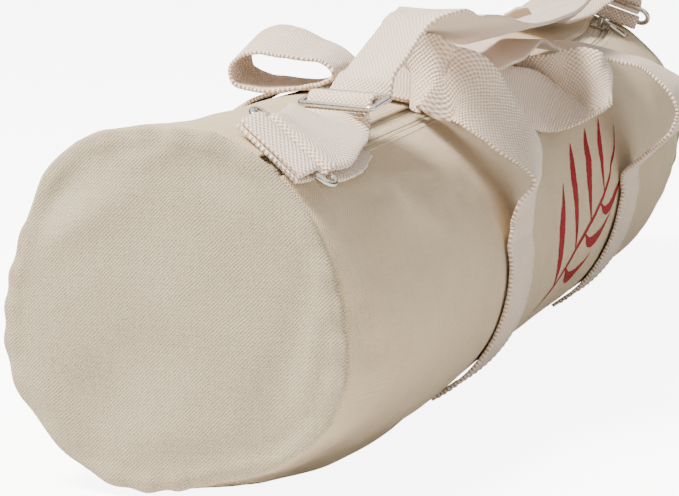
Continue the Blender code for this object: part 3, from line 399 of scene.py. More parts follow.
def start_material(name, settings):
    """Material with its principled shader set."""
    made = bpy.data.materials.new(name)
    made.use_nodes = True
    shader = made.node_tree.nodes["Principled BSDF"]
    for key, value in settings.items():
        shader.inputs[key].default_value = value
    return made, made.node_tree, shader


def maths(tree, operation, first, second=None, third=None):
    """One Math node, each part a number or a socket."""
    settings = {"operation": operation}
    links = {}
    for place, part in enumerate((first, second, third)):
        if part is None:
            continue
        if isinstance(part, (int, float)):
            settings[place] = part
        else:
            links[place] = part
    return add_node(tree, "ShaderNodeMath", settings, links).outputs[0]


def mix_tones(tree, shade, colour, share):
    """Mix of two colours by a share."""
    settings = {"data_type": "RGBA", 6: tint(shade), 7: tint(colour)}
    return add_node(tree, "ShaderNodeMix", settings, {0: share}).outputs[2]


def finish_surface(tree, shader, colour, height, strength, distance):
    """Link the colour and the relief of a material."""
    tree.links.new(colour, shader.inputs["Base Color"])
    bump = add_node(tree, "ShaderNodeBump", {"Strength": strength, "Distance": distance}, {"Height": height})
    tree.links.new(bump.outputs[0], shader.inputs["Normal"])


def cotton_canvas(name, colour, shade, pitch, relief):
    """Unbleached cotton duck, plain woven and unwashed: matt, slubbed, with painted shade darkening the gaps between
    its threads.

    Duck threads lie 0.5 to 0.6 mm apart, drawn at the given pitch so that they show in the render.
    """
    made, tree, shader = start_material(name, {
        "Roughness": 0.92, "IOR": 1.47, "Sheen Weight": 0.18, "Sheen Roughness": 0.55,
        "Specular IOR Level": 0.25,
    })
    place = add_node(tree, "ShaderNodeUVMap", {"uv_map": "cloth"}).outputs[0]
    parts = add_node(tree, "ShaderNodeSeparateXYZ", None, {0: place})
    slow = add_node(tree, "ShaderNodeTexNoise", {"Scale": 45.0, "Detail": 3.0}, {"Vector": place})
    wander = maths(tree, "MULTIPLY", slow.outputs["Fac"], 0.0016)
    across = maths(tree, "ADD", parts.outputs[0], wander)
    down = maths(tree, "ADD", parts.outputs[1], wander)
    warp = maths(tree, "SINE", maths(tree, "MULTIPLY", across, math.pi / pitch))
    weft = maths(tree, "SINE", maths(tree, "MULTIPLY", down, math.pi / pitch))
    weave = maths(tree, "MULTIPLY_ADD", maths(tree, "MULTIPLY", warp, weft), 0.5, 0.5)
    long_ways = add_node(tree, "ShaderNodeMapping", {"Scale": (1 / pitch * 0.9, 60.0, 1.0)}, {"Vector": place})
    slubs = add_node(tree, "ShaderNodeTexNoise", {"Scale": 1.0, "Detail": 2.0}, {"Vector": long_ways.outputs[0]})
    cross_ways = add_node(tree, "ShaderNodeMapping", {"Scale": (60.0, 1 / pitch * 0.9, 1.0)}, {"Vector": place})
    slubs_over = add_node(tree, "ShaderNodeTexNoise", {"Scale": 1.0, "Detail": 2.0}, {"Vector": cross_ways.outputs[0]})
    thick = maths(tree, "ADD", slubs.outputs["Fac"], slubs_over.outputs["Fac"])
    height = maths(tree, "MULTIPLY_ADD", thick, 0.55, weave)
    mottle = add_node(tree, "ShaderNodeTexNoise", {"Scale": 16.0, "Detail": 4.0, "Roughness": 0.6}, {"Vector": place})
    fleck = add_node(tree, "ShaderNodeTexNoise", {"Scale": 420.0, "Detail": 1.0}, {"Vector": place})
    flecks = add_node(tree, "ShaderNodeMapRange", {"From Min": 0.735, "From Max": 0.78}, {"Value": fleck.outputs["Fac"]})
    # Painted shade: the colour runs from the shade colour in the weave's low gaps and thin stretches of yarn to the lit
    # colour on raised threads and slubs; the mottle and flecks are the canvas's own tone.
    level = maths(tree, "MULTIPLY_ADD", thick, 0.32, maths(tree, "MULTIPLY", weave, 0.34))
    blend = mix_tones(tree, shade, colour, maths(tree, "MULTIPLY_ADD", mottle.outputs["Fac"], 0.5, level))
    spots = add_node(tree, "ShaderNodeMix", {"data_type": "RGBA", 7: tint("#8A7A60")}, {
        0: maths(tree, "MULTIPLY", flecks.outputs[0], 0.35), 6: blend})
    finish_surface(tree, shader, spots.outputs[2], height, 0.85, relief)
    return made


def cotton_webbing(name, colour, shade, cell_wide, cell_long, relief):
    """Heavy cotton webbing, woven soft and thick: raised stitches in offset rows, with warm painted shade between them.
    """
    made, tree, shader = start_material(name, {
        "Roughness": 0.95, "IOR": 1.47, "Sheen Weight": 0.3, "Sheen Roughness": 0.6,
        "Specular IOR Level": 0.2,
    })
    place = add_node(tree, "ShaderNodeUVMap", {"uv_map": "cloth"}).outputs[0]
    wavy = add_node(tree, "ShaderNodeTexNoise", {"Scale": 160.0, "Detail": 2.0}, {"Vector": place})
    nudge = maths(tree, "MULTIPLY", maths(tree, "SUBTRACT", wavy.outputs["Fac"], 0.5), 0.0011)
    parts = add_node(tree, "ShaderNodeSeparateXYZ", None, {0: place})
    across = maths(tree, "COSINE", maths(tree, "MULTIPLY", maths(tree, "ADD", parts.outputs[0], nudge), math.pi / cell_wide))
    down = maths(tree, "COSINE", maths(tree, "MULTIPLY", maths(tree, "ADD", parts.outputs[1], nudge), math.pi / cell_long))
    knots = maths(tree, "POWER", maths(tree, "MULTIPLY_ADD", maths(tree, "MULTIPLY", across, down), 0.5, 0.5), 0.8)
    fuzz = add_node(tree, "ShaderNodeTexNoise", {"Scale": 1500.0, "Detail": 3.0}, {"Vector": place})
    height = maths(tree, "MULTIPLY_ADD", fuzz.outputs["Fac"], 0.25, knots)
    mottle = add_node(tree, "ShaderNodeTexNoise", {"Scale": 30.0, "Detail": 3.0}, {"Vector": place})
    # Painted shade: the ground between the raised stitches takes the shade colour; the mottle is the webbing's own
    # tone.
    level = maths(tree, "MULTIPLY_ADD", knots, 0.75, maths(tree, "MULTIPLY", mottle.outputs["Fac"], 0.35))
    blend = mix_tones(tree, shade, colour, level)
    finish_surface(tree, shader, blend, height, 0.9, relief)
    return made


def zip_tape_cloth(name, colour, shade):
    """Woven polyester zip tape: fine ribs along it, with a soft low shine."""
    made, tree, shader = start_material(name, {"Roughness": 0.72, "IOR": 1.5, "Sheen Weight": 0.1})
    place = add_node(tree, "ShaderNodeUVMap", {"uv_map": "cloth"}).outputs[0]
    parts = add_node(tree, "ShaderNodeSeparateXYZ", None, {0: place})
    # Tape ribs lie about 0.4 mm apart, drawn at 1.0 mm so that they show
    ribs = maths(tree, "SINE", maths(tree, "MULTIPLY", parts.outputs[0], 2 * math.pi / 0.0010))
    picks = maths(tree, "SINE", maths(tree, "MULTIPLY", parts.outputs[1], 2 * math.pi / 0.0012))
    height = maths(tree, "MULTIPLY_ADD", picks, 0.2, ribs)
    noise = add_node(tree, "ShaderNodeTexNoise", {"Scale": 90.0, "Detail": 3.0}, {"Vector": place})
    # Partly painted shade: darker in the grooves between the ribs; the noise is the tape's own uneven tone.
    level = maths(tree, "MULTIPLY_ADD", ribs, 0.22, noise.outputs["Fac"])
    blend = mix_tones(tree, shade, colour, level)
    finish_surface(tree, shader, blend, height, 0.6, 0.0002)
    return made


def nylon_coil(name, colour):
    """Extruded nylon coil: smooth, slightly waxy, half glossy."""
    made, tree, shader = start_material(name, {"Roughness": 0.42, "IOR": 1.53, "Subsurface Weight": 0.05})
    place = add_node(tree, "ShaderNodeTexCoord").outputs["Object"]
    noise = add_node(tree, "ShaderNodeTexNoise", {"Scale": 300.0, "Detail": 2.0}, {"Vector": place})
    blend = mix_tones(tree, "#A79878", colour, noise.outputs["Fac"])
    tree.links.new(blend, shader.inputs["Base Color"])
    rough = add_node(tree, "ShaderNodeMapRange", {"To Min": 0.35, "To Max": 0.52}, {"Value": noise.outputs["Fac"]})
    tree.links.new(rough.outputs[0], shader.inputs["Roughness"])
    return made


def nickel_plate(name, colour):
    """Steel wire, bent and nickel plated: bright with a slightly warm tone and fine rubbing marks."""
    made, tree, shader = start_material(name, {"Base Color": tint(colour), "Metallic": 1.0, "Roughness": 0.2})
    place = add_node(tree, "ShaderNodeTexCoord").outputs["Object"]
    noise = add_node(tree, "ShaderNodeTexNoise", {"Scale": 900.0, "Detail": 4.0}, {"Vector": place})
    rough = add_node(tree, "ShaderNodeMapRange", {"To Min": 0.14, "To Max": 0.34}, {"Value": noise.outputs["Fac"]})
    tree.links.new(rough.outputs[0], shader.inputs["Roughness"])
    tone = mix_tones(tree, "#9C968C", colour, maths(tree, "MULTIPLY_ADD", noise.outputs["Fac"], 0.8, 0.3))
    finish_surface(tree, shader, tone, noise.outputs["Fac"], 0.15, 0.0001)
    return made


def cotton_thread(name, colour):
    """Spun cotton sewing thread, two ply and matt."""
    made, tree, shader = start_material(name, {"Roughness": 0.85, "IOR": 1.47, "Sheen Weight": 0.2})
    place = add_node(tree, "ShaderNodeTexCoord").outputs["Object"]
    noise = add_node(tree, "ShaderNodeTexNoise", {"Scale": 1200.0, "Detail": 2.0}, {"Vector": place})
    blend = mix_tones(tree, "#B5A58C", colour, noise.outputs["Fac"])
    finish_surface(tree, shader, blend, noise.outputs["Fac"], 0.5, 0.0001)
    return made


def fabric_ink(name, colour, shade, pitch):
    """Water-based ink pressed into canvas through a screen: flat, dry, with the weave showing through."""
    made, tree, shader = start_material(name, {"Roughness": 0.82, "IOR": 1.48, "Specular IOR Level": 0.25})
    place = add_node(tree, "ShaderNodeUVMap", {"uv_map": "cloth"}).outputs[0]
    parts = add_node(tree, "ShaderNodeSeparateXYZ", None, {0: place})
    warp = maths(tree, "SINE", maths(tree, "MULTIPLY", parts.outputs[0], math.pi / pitch))
    weft = maths(tree, "SINE", maths(tree, "MULTIPLY", parts.outputs[1], math.pi / pitch))
    weave = maths(tree, "MULTIPLY_ADD", maths(tree, "MULTIPLY", warp, weft), 0.5, 0.5)
    noise = add_node(tree, "ShaderNodeTexNoise", {"Scale": 260.0, "Detail": 4.0}, {"Vector": place})
    # Partly painted shade: darker in the weave's gaps; the noise is the ink's own uneven tone.
    level = maths(tree, "MULTIPLY_ADD", weave, 0.35, maths(tree, "MULTIPLY", noise.outputs["Fac"], 0.9))
    blend = mix_tones(tree, shade, colour, level)
    finish_surface(tree, shader, blend, weave, 0.6, 0.0003)
    return made


def add_mesh(name, points, faces, stuff, flat_places=None, smooth=True):
    """Object from points and faces, with its cloth coordinates in metres where given."""
    mesh = bpy.data.meshes.new(name)
    mesh.from_pydata([tuple(point) for point in np.asarray(points).reshape(-1, 3)], [], faces)
    mesh.update()
    if flat_places is not None:
        layer = mesh.uv_layers.new(name="cloth")
        corners = np.empty(len(mesh.loops), dtype=np.int32)
        mesh.loops.foreach_get("vertex_index", corners)
        layer.data.foreach_set("uv", np.asarray(flat_places, dtype=np.float32).reshape(-1, 2)[corners].ravel())
    mesh.polygons.foreach_set("use_smooth", [smooth] * len(mesh.polygons))
    thing = bpy.data.objects.new(name, mesh)
    mesh.materials.append(stuff)
    bpy.context.scene.collection.objects.link(thing)
    return thing


def grid_faces(rows, columns, closed=False):
    """Quads of a grid of points, each row closed on itself if asked."""
    faces = []
    wrap = columns if closed else columns - 1
    for row in range(rows - 1):
        for column in range(wrap):
            across = (column + 1) % columns
            first = row * columns
            second = first + columns
            faces.append((first + column, first + across, second + across, second + column))
    return faces


def moved_faces(faces, base):
    """Faces of a grid whose points start at a later place."""
    return [tuple(base + corner for corner in face) for face in faces]


def face_outwards(thing):
    """Point a piece's faces outwards."""
    work = bmesh.new()
    work.from_mesh(thing.data)
    bmesh.ops.recalc_face_normals(work, faces=work.faces)
    work.to_mesh(thing.data)
    work.free()


def settle_piece(thing, body, slot, *nodes):
    """Fix a piece to its body and hide the solids that it stands for; the slot is not used."""
    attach(thing, body)
    if nodes:
        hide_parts(*nodes)
    return thing


def sew_tube(sizes, stuff):
    """Canvas tube with its turned hems along the zip and its edges turned in at the end seams."""
    rows = sizes.rows_along
    columns = sizes.rows_around
    share = np.linspace(0, 1, rows)
    along = SEAM_TURN[-1][0] / LENGTH + (share - ROW_CROWDING * np.sin(2 * np.pi * share)) * (1 - 2 * SEAM_TURN[-1][0] / LENGTH)
    tucks = np.array([place for place, drop in SEAM_TURN[:-1]]) / LENGTH
    drops = np.array([drop for place, drop in SEAM_TURN[:-1]])
    along = np.concatenate((tucks, along, 1 - tucks[::-1]))
    sinks = np.concatenate((drops, np.zeros(rows), drops[::-1]))
    half_turn = math.degrees(SLOT_HALF / RADIUS)
    hem = ((6.0, -0.0017), (1.0, -0.0016), (0.15, -0.0013), (-0.15, -0.0006), (0.0, -0.0001), (0.7, 0.00012))
    start = zip_turn(along) + half_turn
    sweep = 360 - 2 * half_turn
    turns = []
    lifts = []
    for away, lift in hem:
        turns.append(start + math.degrees(away * 0.001 / RADIUS))
        lifts.append(lift)
    inner = np.linspace(0, 1, columns)[1:-1]
    for part in inner:
        turns.append(start + sweep * part)
        lifts.append(0.0)
    for away, lift in reversed(hem):
        turns.append(start + sweep - math.degrees(away * 0.001 / RADIUS))
        lifts.append(lift)
    turn = np.array(turns).T
    lift = np.broadcast_to(np.array(lifts), turn.shape)
    points = skin(along[:, None], turn, lift + sinks[:, None])
    flat = np.stack((np.broadcast_to(along[:, None] * LENGTH, turn.shape), np.radians(turn) * RADIUS), axis=-1)
    faces = grid_faces(points.shape[0], points.shape[1])
    thing = add_mesh("canvas_tube", points, faces, stuff, flat)
    return settle_piece(thing, "bag", "tube_canvas", "body_tube")


def panel_grid(along, outwards, dents, folds, rings, spokes):
    """Points of an end panel, from the crease of its seam over its puffed edge to its middle."""
    turn = np.arange(spokes) * 360 / spokes
    skin_place, forward, around, normal = tube_frame(along, turn)
    rim = skin_place - normal * PANEL_SINK
    middle = rim.mean(axis=0)
    gather = 0.0004 * np.sin(np.radians(turn * 23) + 2.4 * np.sin(np.radians(turn * 4)))
    points = []
    for drop, out in PANEL_LIP:
        point = skin_place - normal * (drop - gather)[:, None]
        point[:, 0] += outwards * (out + gather)
        points.append(point)
    shares = 1 - 0.012 - (1 - 0.012) * np.linspace(0, 1, rings) ** 1.15
    crown_share = [row[0] for row in CROWN]
    crown_value = [row[1] for row in CROWN]
    for share in shares:
        near = np.clip(np.abs(share + np.linspace(-0.06, 0.06, 9)), 0, 1)
        push = np.full(spokes, np.interp(near, crown_share, crown_value).mean())
        for dent_turn, dent_share, reach_turn, reach_share, rise in dents:
            far_turn = turn_between(turn, dent_turn) / reach_turn
            far_share = (share - dent_share) / reach_share
            push = push + rise * (1 - share ** 6) * np.exp(-far_turn * far_turn - far_share * far_share)
        point = middle + (rim - middle) * share
        side = -(point[:, 1] - middle[1]) / RADIUS
        up = (point[:, 2] - middle[2]) / RADIUS
        small = np.zeros(spokes)
        for fold_side, fold_up, lean, long, wide, rise in folds:
            turned = math.radians(lean)
            run = ((side - fold_side) * math.cos(turned) + (up - fold_up) * math.sin(turned)) / long
            away = ((up - fold_up) * math.cos(turned) - (side - fold_side) * math.sin(turned)) / wide
            small += rise * np.exp(-run * run - away * away)
        edge = math.exp(-((share - 0.97) / 0.05) ** 2)
        lip = PANEL_LIP[-1][1] * edge
        point[:, 0] = rim[:, 0] + outwards * (push * DIAMETER + lip + small * (1 - share ** 14) + gather * edge)
        points.append(point)
    return np.array(points)


def sew_panel(name, along, outwards, dents, folds, stuff, node):
    """End panel with its gathered seam."""
    rings = 56
    spokes = 240
    points = panel_grid(along, outwards, dents, folds, rings, spokes)
    faces = grid_faces(len(points), spokes, True)
    flat = points[..., 1:3].copy()
    thing = add_mesh(name, points, faces, stuff, flat)
    face_outwards(thing)
    if outwards * thing.data.polygons[spokes * 40].normal[0] < 0:
        thing.data.flip_normals()
    return settle_piece(thing, "bag", "end_canvas", node)


def strip_on_tube(name, sides, lifts, start, end, steps, stuff):
    """Strip along the zip: a profile of sideways places and lifts carried along the tube."""
    along = np.linspace(start, end, steps)
    sideways = np.array(sides)
    turn = zip_turn(along)[:, None] + np.degrees(sideways[None, :] / RADIUS)
    points = lifted(along[:, None], turn, np.broadcast_to(np.array(lifts), turn.shape))
    flat = np.stack((np.broadcast_to(sideways, turn.shape), np.broadcast_to(along[:, None] * LENGTH, turn.shape)), axis=-1)
    return add_mesh(name, points, grid_faces(steps, len(sides)), stuff, flat)


def lay_zip_tape(name, side, stuff, node):
    """Zip tape: thin, with a thicker beaded edge beside the coil."""
    top = TAPE_LIFT + TAPE_THICK
    profile = [(TAPE_OUTER, TAPE_LIFT), (TAPE_OUTER, top), (0.0060, top), (0.0044, top), (0.0040, top + 0.00025)]
    profile += [(0.0035, top + 0.0003), (0.0031, top + 0.0001), (TAPE_INNER, top), (TAPE_INNER, TAPE_LIFT)]
    sides = [side * place for place, lift in profile]
    lifts = [lift for place, lift in profile]
    thing = strip_on_tube(name, sides, lifts, TAPE_ENDS, 1 - TAPE_ENDS, 260, stuff)
    face_outwards(thing)
    return settle_piece(thing, "bag", "zip_tape", node)


def wind_coil(sizes, stuff):
    """Closed nylon coil: a row of hooked loops from each side, locked into each other."""
    pitch = sizes.coil_pitch
    count = int((SLIDER_ALONG - TAPE_ENDS) * LENGTH / pitch)
    points = []
    faces = []
    wire = COIL_WIRE
    middle = TEETH_LIFT + TEETH_THICK / 2
    sides = 5
    for number in range(count):
        along = TAPE_ENDS + (number + 0.5) * pitch / LENGTH
        hand = 1 if number % 2 else -1
        origin, forward, around, normal = tube_frame(along, float(zip_turn(along)))
        path = []
        for step in range(7):
            angle = -math.pi / 2 + math.pi * step / 6
            reach = hand * (0.0021 - 0.0033 * (1 if step in (2, 3, 4) else 0.55 if step in (1, 5) else 0.0))
            path.append(origin + around * reach + normal * (middle + 0.00062 * math.sin(angle)))
        base = len(points)
        for point in path:
            for spoke in range(sides):
                turn = 2 * math.pi * spoke / sides
                points.append(point + forward * (wire * math.cos(turn)) + normal * (wire * math.sin(turn) * 0.8))
        faces += moved_faces(grid_faces(len(path), sides, True), base)
    thing = add_mesh("zip_coil_rows", points, faces, stuff)
    cords = strip_on_tube("zip_coil_core", (-0.0021, -0.0019, -0.0004, 0.0, 0.0004, 0.0019, 0.0021),
                          (middle - 0.0005, middle, middle + 0.0003, middle + 0.0001, middle + 0.0003, middle, middle - 0.0005),
                          TAPE_ENDS, SLIDER_ALONG, 240, stuff)
    settle_piece(cords, "bag", "zip_coil")
    return settle_piece(thing, "bag", "zip_coil", "zip_teeth")


def ring_frame(along, turn, skew, lift, pitch):
    """Middle of a ring and its axes: along its bars to -Y, from its outer to its inner bar, and its face."""
    point, forward, around, normal = tube_frame(along, turn)
    inboard = forward if along < 0.5 else -forward
    angle = math.radians(skew)
    bars = around * math.cos(angle) - inboard * math.sin(angle)
    over = inboard * math.cos(angle) + around * math.sin(angle)
    rise = math.radians(pitch)
    across = over * math.cos(rise) + normal * math.sin(rise)
    face = unit(np.cross(bars, across))
    if np.dot(face, normal) < 0:
        face = -face
    return point + normal * lift, (bars, across, face)


def oval_path(straight, apart):
    """Closed path of an oval of two straight bars and round ends."""
    path = []
    radius = apart / 2
    for side in (1, -1):
        for step in range(17):
            angle = math.pi / 2 - math.pi * step / 16
            path.append((side * (straight / 2 + radius * math.cos(angle)), side * radius * math.sin(angle), 0.0))
    return path


def bend_wire(name, path, wire, origin, axes, stuff, closed=True):
    """Round wire along a path given in a local frame."""
    curve = bpy.data.curves.new(name, "CURVE")
    curve.dimensions = "3D"
    curve.bevel_depth = wire
    curve.bevel_resolution = 5
    curve.use_fill_caps = not closed
    spline = curve.splines.new("POLY")
    spline.points.add(len(path) - 1)
    for number, local in enumerate(path):
        point = origin + axes[0] * local[0] + axes[1] * local[1] + axes[2] * local[2]
        spline.points[number].co = (*point, 1.0)
    spline.use_cyclic_u = closed
    drawn = bpy.data.objects.new(name, curve)
    bpy.context.scene.collection.objects.link(drawn)
    graph = bpy.context.evaluated_depsgraph_get()
    graph.update()
    mesh = bpy.data.meshes.new_from_object(drawn.evaluated_get(graph))
    bpy.data.objects.remove(drawn, do_unlink=True)
    mesh.polygons.foreach_set("use_smooth", [True] * len(mesh.polygons))
    mesh.materials.clear()
    mesh.materials.append(stuff)
    thing = bpy.data.objects.new(name, mesh)
    bpy.context.scene.collection.objects.link(thing)
    return thing


def direction(turn, tilt):
    """Unit vector from a compass turn and an upward tilt in degrees."""
    level = math.cos(math.radians(tilt))
    angle = math.radians(turn)
    return np.array((level * math.cos(angle), level * math.sin(angle), math.sin(math.radians(tilt))))


def glide_frame():
    """Middle of the strap slider and its axes: along its bars, along the strap's run, outwards."""
    along, across, height = GLIDE_PLACE
    origin = np.array(((along - 0.5) * LENGTH, across * DIAMETER, height * DIAMETER))
    bars = direction(GLIDE_TURN, GLIDE_TILT)
    level = unit(np.cross(np.array((0.0, 0.0, 1.0)), bars))
    level = level if level[0] > 0 else -level
    upright = unit(np.cross(level, bars))
    upright = upright if upright[2] > 0 else -upright
    climb = math.radians(GLIDE_CLIMB)
    run = level * math.cos(climb) + upright * math.sin(climb)
    out = upright * math.cos(climb) - level * math.sin(climb)
    return origin, (bars, run, out)


def free_stations(rows):
    """Middle points and width directions of a table of free webbing."""
    stations = []
    for along, across, height, turn, tilt in rows:
        middle = np.array(((along - 0.5) * LENGTH, across * DIAMETER, height * DIAMETER))
        stations.append((middle, direction(turn, tilt)))
    return stations


def strip_stations(along, side, facing):
    """Sewn strip of a handle, from low on the tube's side up to where it comes free, wide along X."""
    stations = []
    for step in range(STRIP_STEPS):
        turn = STRIP_LOW_TURN + (STRIP_TOP_TURN - STRIP_LOW_TURN) * step / (STRIP_STEPS - 1)
        stations.append((lifted(along, side * turn, WEB_LIFT), np.array((float(facing), 0.0, 0.0))))
    return stations


def framed(place, places):
    """Stations at run and rise in a ring's or slider's frame, wide along its bars."""
    origin, (bars, run, out) = place
    return [(origin + run * along + out * rise, bars) for along, rise in places]


def loop_places(centre, sense, radius):
    """Half turn of webbing round a bar: from below, round its outer side, to above."""
    places = []
    for step in range(7):
        angle = -math.pi / 2 + math.pi * step / 6
        places.append((centre + sense * radius * math.cos(angle), radius * math.sin(angle)))
    return places


def on_tube(rows):
    """Stations of webbing lying over the tube."""
    stations = []
    for along, turn, lift, skew in rows:
        point, forward, around, normal = tube_frame(along, turn)
        angle = math.radians(skew)
        stations.append((point + normal * lift, around * math.cos(angle) - forward * math.sin(angle)))
    return stations


def glide_weave():
    """Strap's run under, over and under the slider's three bars."""
    apart = GLIDE_BARS_APART
    reach = GLIDE_REACH
    slope = GLIDE_SLOPE * apart
    soft = GLIDE_EASE * reach
    places = [(-apart - GLIDE_OUT, -reach * GLIDE_OUT_DROP), (-apart, -reach), (-apart + slope, -soft)]
    places += [(-apart / 2, 0.0), (-slope, soft), (0.0, reach), (slope, soft)]
    places += [(apart / 2, 0.0), (apart - slope, -soft), (apart, -reach), (apart + GLIDE_OUT, -reach * GLIDE_OUT_DROP)]
    return places


def strap_stations():
    """Whole run of the shoulder strap, from its short inner ply to its far end."""
    half = RING_BARS_APART / 2
    stations = list(reversed(on_tube(STRAP_TAIL)))
    stations += framed(ring_frame(*NEAR_RING), loop_places(half, -1, LOOP_RADIUS))
    stations += on_tube(STRAP_LEAD)
    stations += framed(glide_frame(), glide_weave())
    stations += free_stations(STRAP_ROWS)
    stations += framed(ring_frame(*FAR_RING), list(reversed(loop_places(half, -1, LOOP_RADIUS))))
    return stations


def tab_stations(ring, reaches):
    """Tab from the end seam, round the ring's outer bar and back over itself."""
    along, turn, skew, ring_lift, pitch = ring
    sense = 1 if along < 0.5 else -1
    plies = []
    frame = ring_frame(*ring)
    middle, (bars, run, out) = frame
    for reach, lift in zip(reaches, (TAB_LOW_LIFT, TAB_TOP_LIFT)):
        point, forward, around, normal = tube_frame(along - sense * reach / LENGTH, turn)
        place = point + normal * lift
        plies.append((place - bars * np.dot(place - middle, bars), bars))
    loop = framed(frame, loop_places(-RING_BARS_APART / 2, 1, LOOP_RADIUS))
    return [plies[0]] + loop + [plies[1]]


def curve_between(t, step, first, first_slope, second, second_slope):
    """Values at a share of the step between two rows with their slopes."""
    return ((2 * t ** 3 - 3 * t ** 2 + 1) * first + (t ** 3 - 2 * t ** 2 + t) * step * first_slope
            + (3 * t ** 2 - 2 * t ** 3) * second + (t ** 3 - t ** 2) * step * second_slope)


def spline(stations):
    """Smooth run through stations, sampled finely: middle points and width directions."""
    rows = np.array([np.concatenate(station) for station in stations])
    steps = np.linalg.norm(np.diff(rows[:, :3], axis=0), axis=1)
    slopes = np.empty_like(rows)
    slopes[0] = (rows[1] - rows[0]) / steps[0]
    slopes[-1] = (rows[-1] - rows[-2]) / steps[-1]
    for number in range(1, len(rows) - 1):
        before = (rows[number] - rows[number - 1]) / steps[number - 1]
        after = (rows[number + 1] - rows[number]) / steps[number]
        share = steps[number - 1] / (steps[number - 1] + steps[number])
        slopes[number] = before * (1 - share) + after * share
    run = []
    for number in range(len(rows) - 1):
        step = steps[number]
        t = (np.arange(max(2, int(step / SPLINE_STEP))) / max(2, int(step / SPLINE_STEP)))[:, None]
        run.append(curve_between(t, step, rows[number], slopes[number], rows[number + 1], slopes[number + 1]))
    run.append(rows[-1:])
    return np.concatenate(run)


def square_widths(run):
    """Turn the width directions square to the run, and give the run's ways as well."""
    ways = unit(np.gradient(run[:, :3], axis=0))
    widths = run[:, 3:] - ways * np.sum(run[:, 3:] * ways, axis=1)[:, None]
    run[:, 3:] = unit(widths)
    return run, ways


def tube_tree():
    """Search tree of the dressed tube's faces."""
    mesh = bpy.data.objects["canvas_tube"].data
    return BVHTree.FromPolygons([v.co for v in mesh.vertices], [p.vertices for p in mesh.polygons])


def rest_on_tube(run, tree):
    """Lift fine stations of webbing that sink into the cloth of the tube or touch it."""
    widths = unit(run[:, 3:])
    needs = np.zeros(len(run))
    ways = np.zeros((len(run), 3))
    for side in (-0.5, -0.25, 0.0, 0.25, 0.5):
        points = run[:, :3] + widths * WEB_WIDTH * side
        along = np.clip(points[:, 0] / LENGTH + 0.5, 0.0, 1.0)
        core = np.stack((points[:, 0], table_at(SECTIONS, 3, along) * DIAMETER, np.full(len(run), RADIUS)), axis=-1)
        spokes = points - core
        turn = np.degrees(np.arctan2(-spokes[:, 1], spokes[:, 2]))
        spokes = unit(spokes)
        heights = np.sum((points - tube_point(along, turn)) * spokes, axis=1)
        for number in np.nonzero(heights < 2 * WEB_SEAT)[0]:
            near, normal, index, distance = tree.find_nearest(Vector(points[number]))
            if normal.dot(Vector(spokes[number])) < 0:
                normal = -normal
            height = (Vector(points[number]) - near).dot(normal)
            heights[number] = min(heights[number], max(height, -WEB_SEAT))
        needs = np.maximum(needs, WEB_SEAT - heights)
        ways += spokes
    spread = WEB_REST_SPREAD
    widest = np.array([needs[max(0, n - 2 * spread):n + 2 * spread + 1].max() for n in range(len(run))])
    even = np.array([widest[max(0, n - spread):n + spread + 1].mean() for n in range(len(run))])
    run[:, :3] += unit(ways) * even[:, None]
    return run


def web_run(stations, tree=None):
    """Fine stations of a webbing: middles, widths, ways and distances along it."""
    run, ways = square_widths(spline(stations))
    if tree:
        run, ways = square_widths(rest_on_tube(run, tree))
    gone = np.concatenate(([0.0], np.cumsum(np.linalg.norm(np.diff(run[:, :3], axis=0), axis=1))))
    return run[:, :3], run[:, 3:], ways, gone


def weave_web(name, stations, sizes, stuff, tree=None, phase=0.0):
    """Flat webbing with round selvedges along its stations."""
    middles, widths, ways, gone = web_run(stations, tree)
    step = sizes.sample_step
    count = int(gone[-1] / step) + 1
    places = np.linspace(0, gone[-1], count)
    pick = np.searchsorted(gone, places).clip(0, len(gone) - 1)
    pick = np.unique(np.concatenate(([0], pick, [len(gone) - 1])))
    middles, widths, ways, gone = middles[pick], widths[pick], ways[pick], gone[pick]
    faces_out = unit(np.cross(ways, widths))
    half = WEB_WIDTH / 2
    thick = WEB_THICK / 2
    profile = []
    flat_across = []
    columns = 12
    for number in range(columns + 1):
        share = -1 + 2 * number / columns
        profile.append((share * (half - thick * 0.55), thick))
        flat_across.append(share * half)
    for angle in (45, 0, -45):
        profile.append((half - thick * 0.55 + thick * 0.55 * math.cos(math.radians(angle)), thick * math.sin(math.radians(angle))))
        flat_across.append(half)
    for number in range(columns + 1):
        share = 1 - 2 * number / columns
        profile.append((share * (half - thick * 0.55), -thick))
        flat_across.append(share * half)
    for angle in (-45, 0, 45):
        profile.append((-half + thick * 0.55 - thick * 0.55 * math.cos(math.radians(angle)), thick * math.sin(math.radians(angle))))
        flat_across.append(-half)
    profile = np.array(profile)
    wobble = 0.00018 * np.sin(gone * 900 + phase) + 0.00028 * np.sin(gone * 210 + 2 * phase)
    grid = (middles[:, None, :]
            + widths[:, None, :] * (profile[None, :, 0] * (1 + wobble[:, None] / half))[..., None]
            + faces_out[:, None, :] * profile[None, :, 1][..., None])
    rows, columns = grid.shape[:2]
    faces = grid_faces(rows, columns, True)
    last = (rows - 1) * columns
    faces += [tuple(reversed(range(columns))), tuple(last + column for column in range(columns))]
    flat = np.stack((np.broadcast_to(np.array(flat_across), (rows, columns)), np.broadcast_to(gone[:, None], (rows, columns))), axis=-1)
    thing = add_mesh(name, grid, faces, stuff, flat)
    face_outwards(thing)
    return thing, (middles, widths, ways, gone, faces_out)


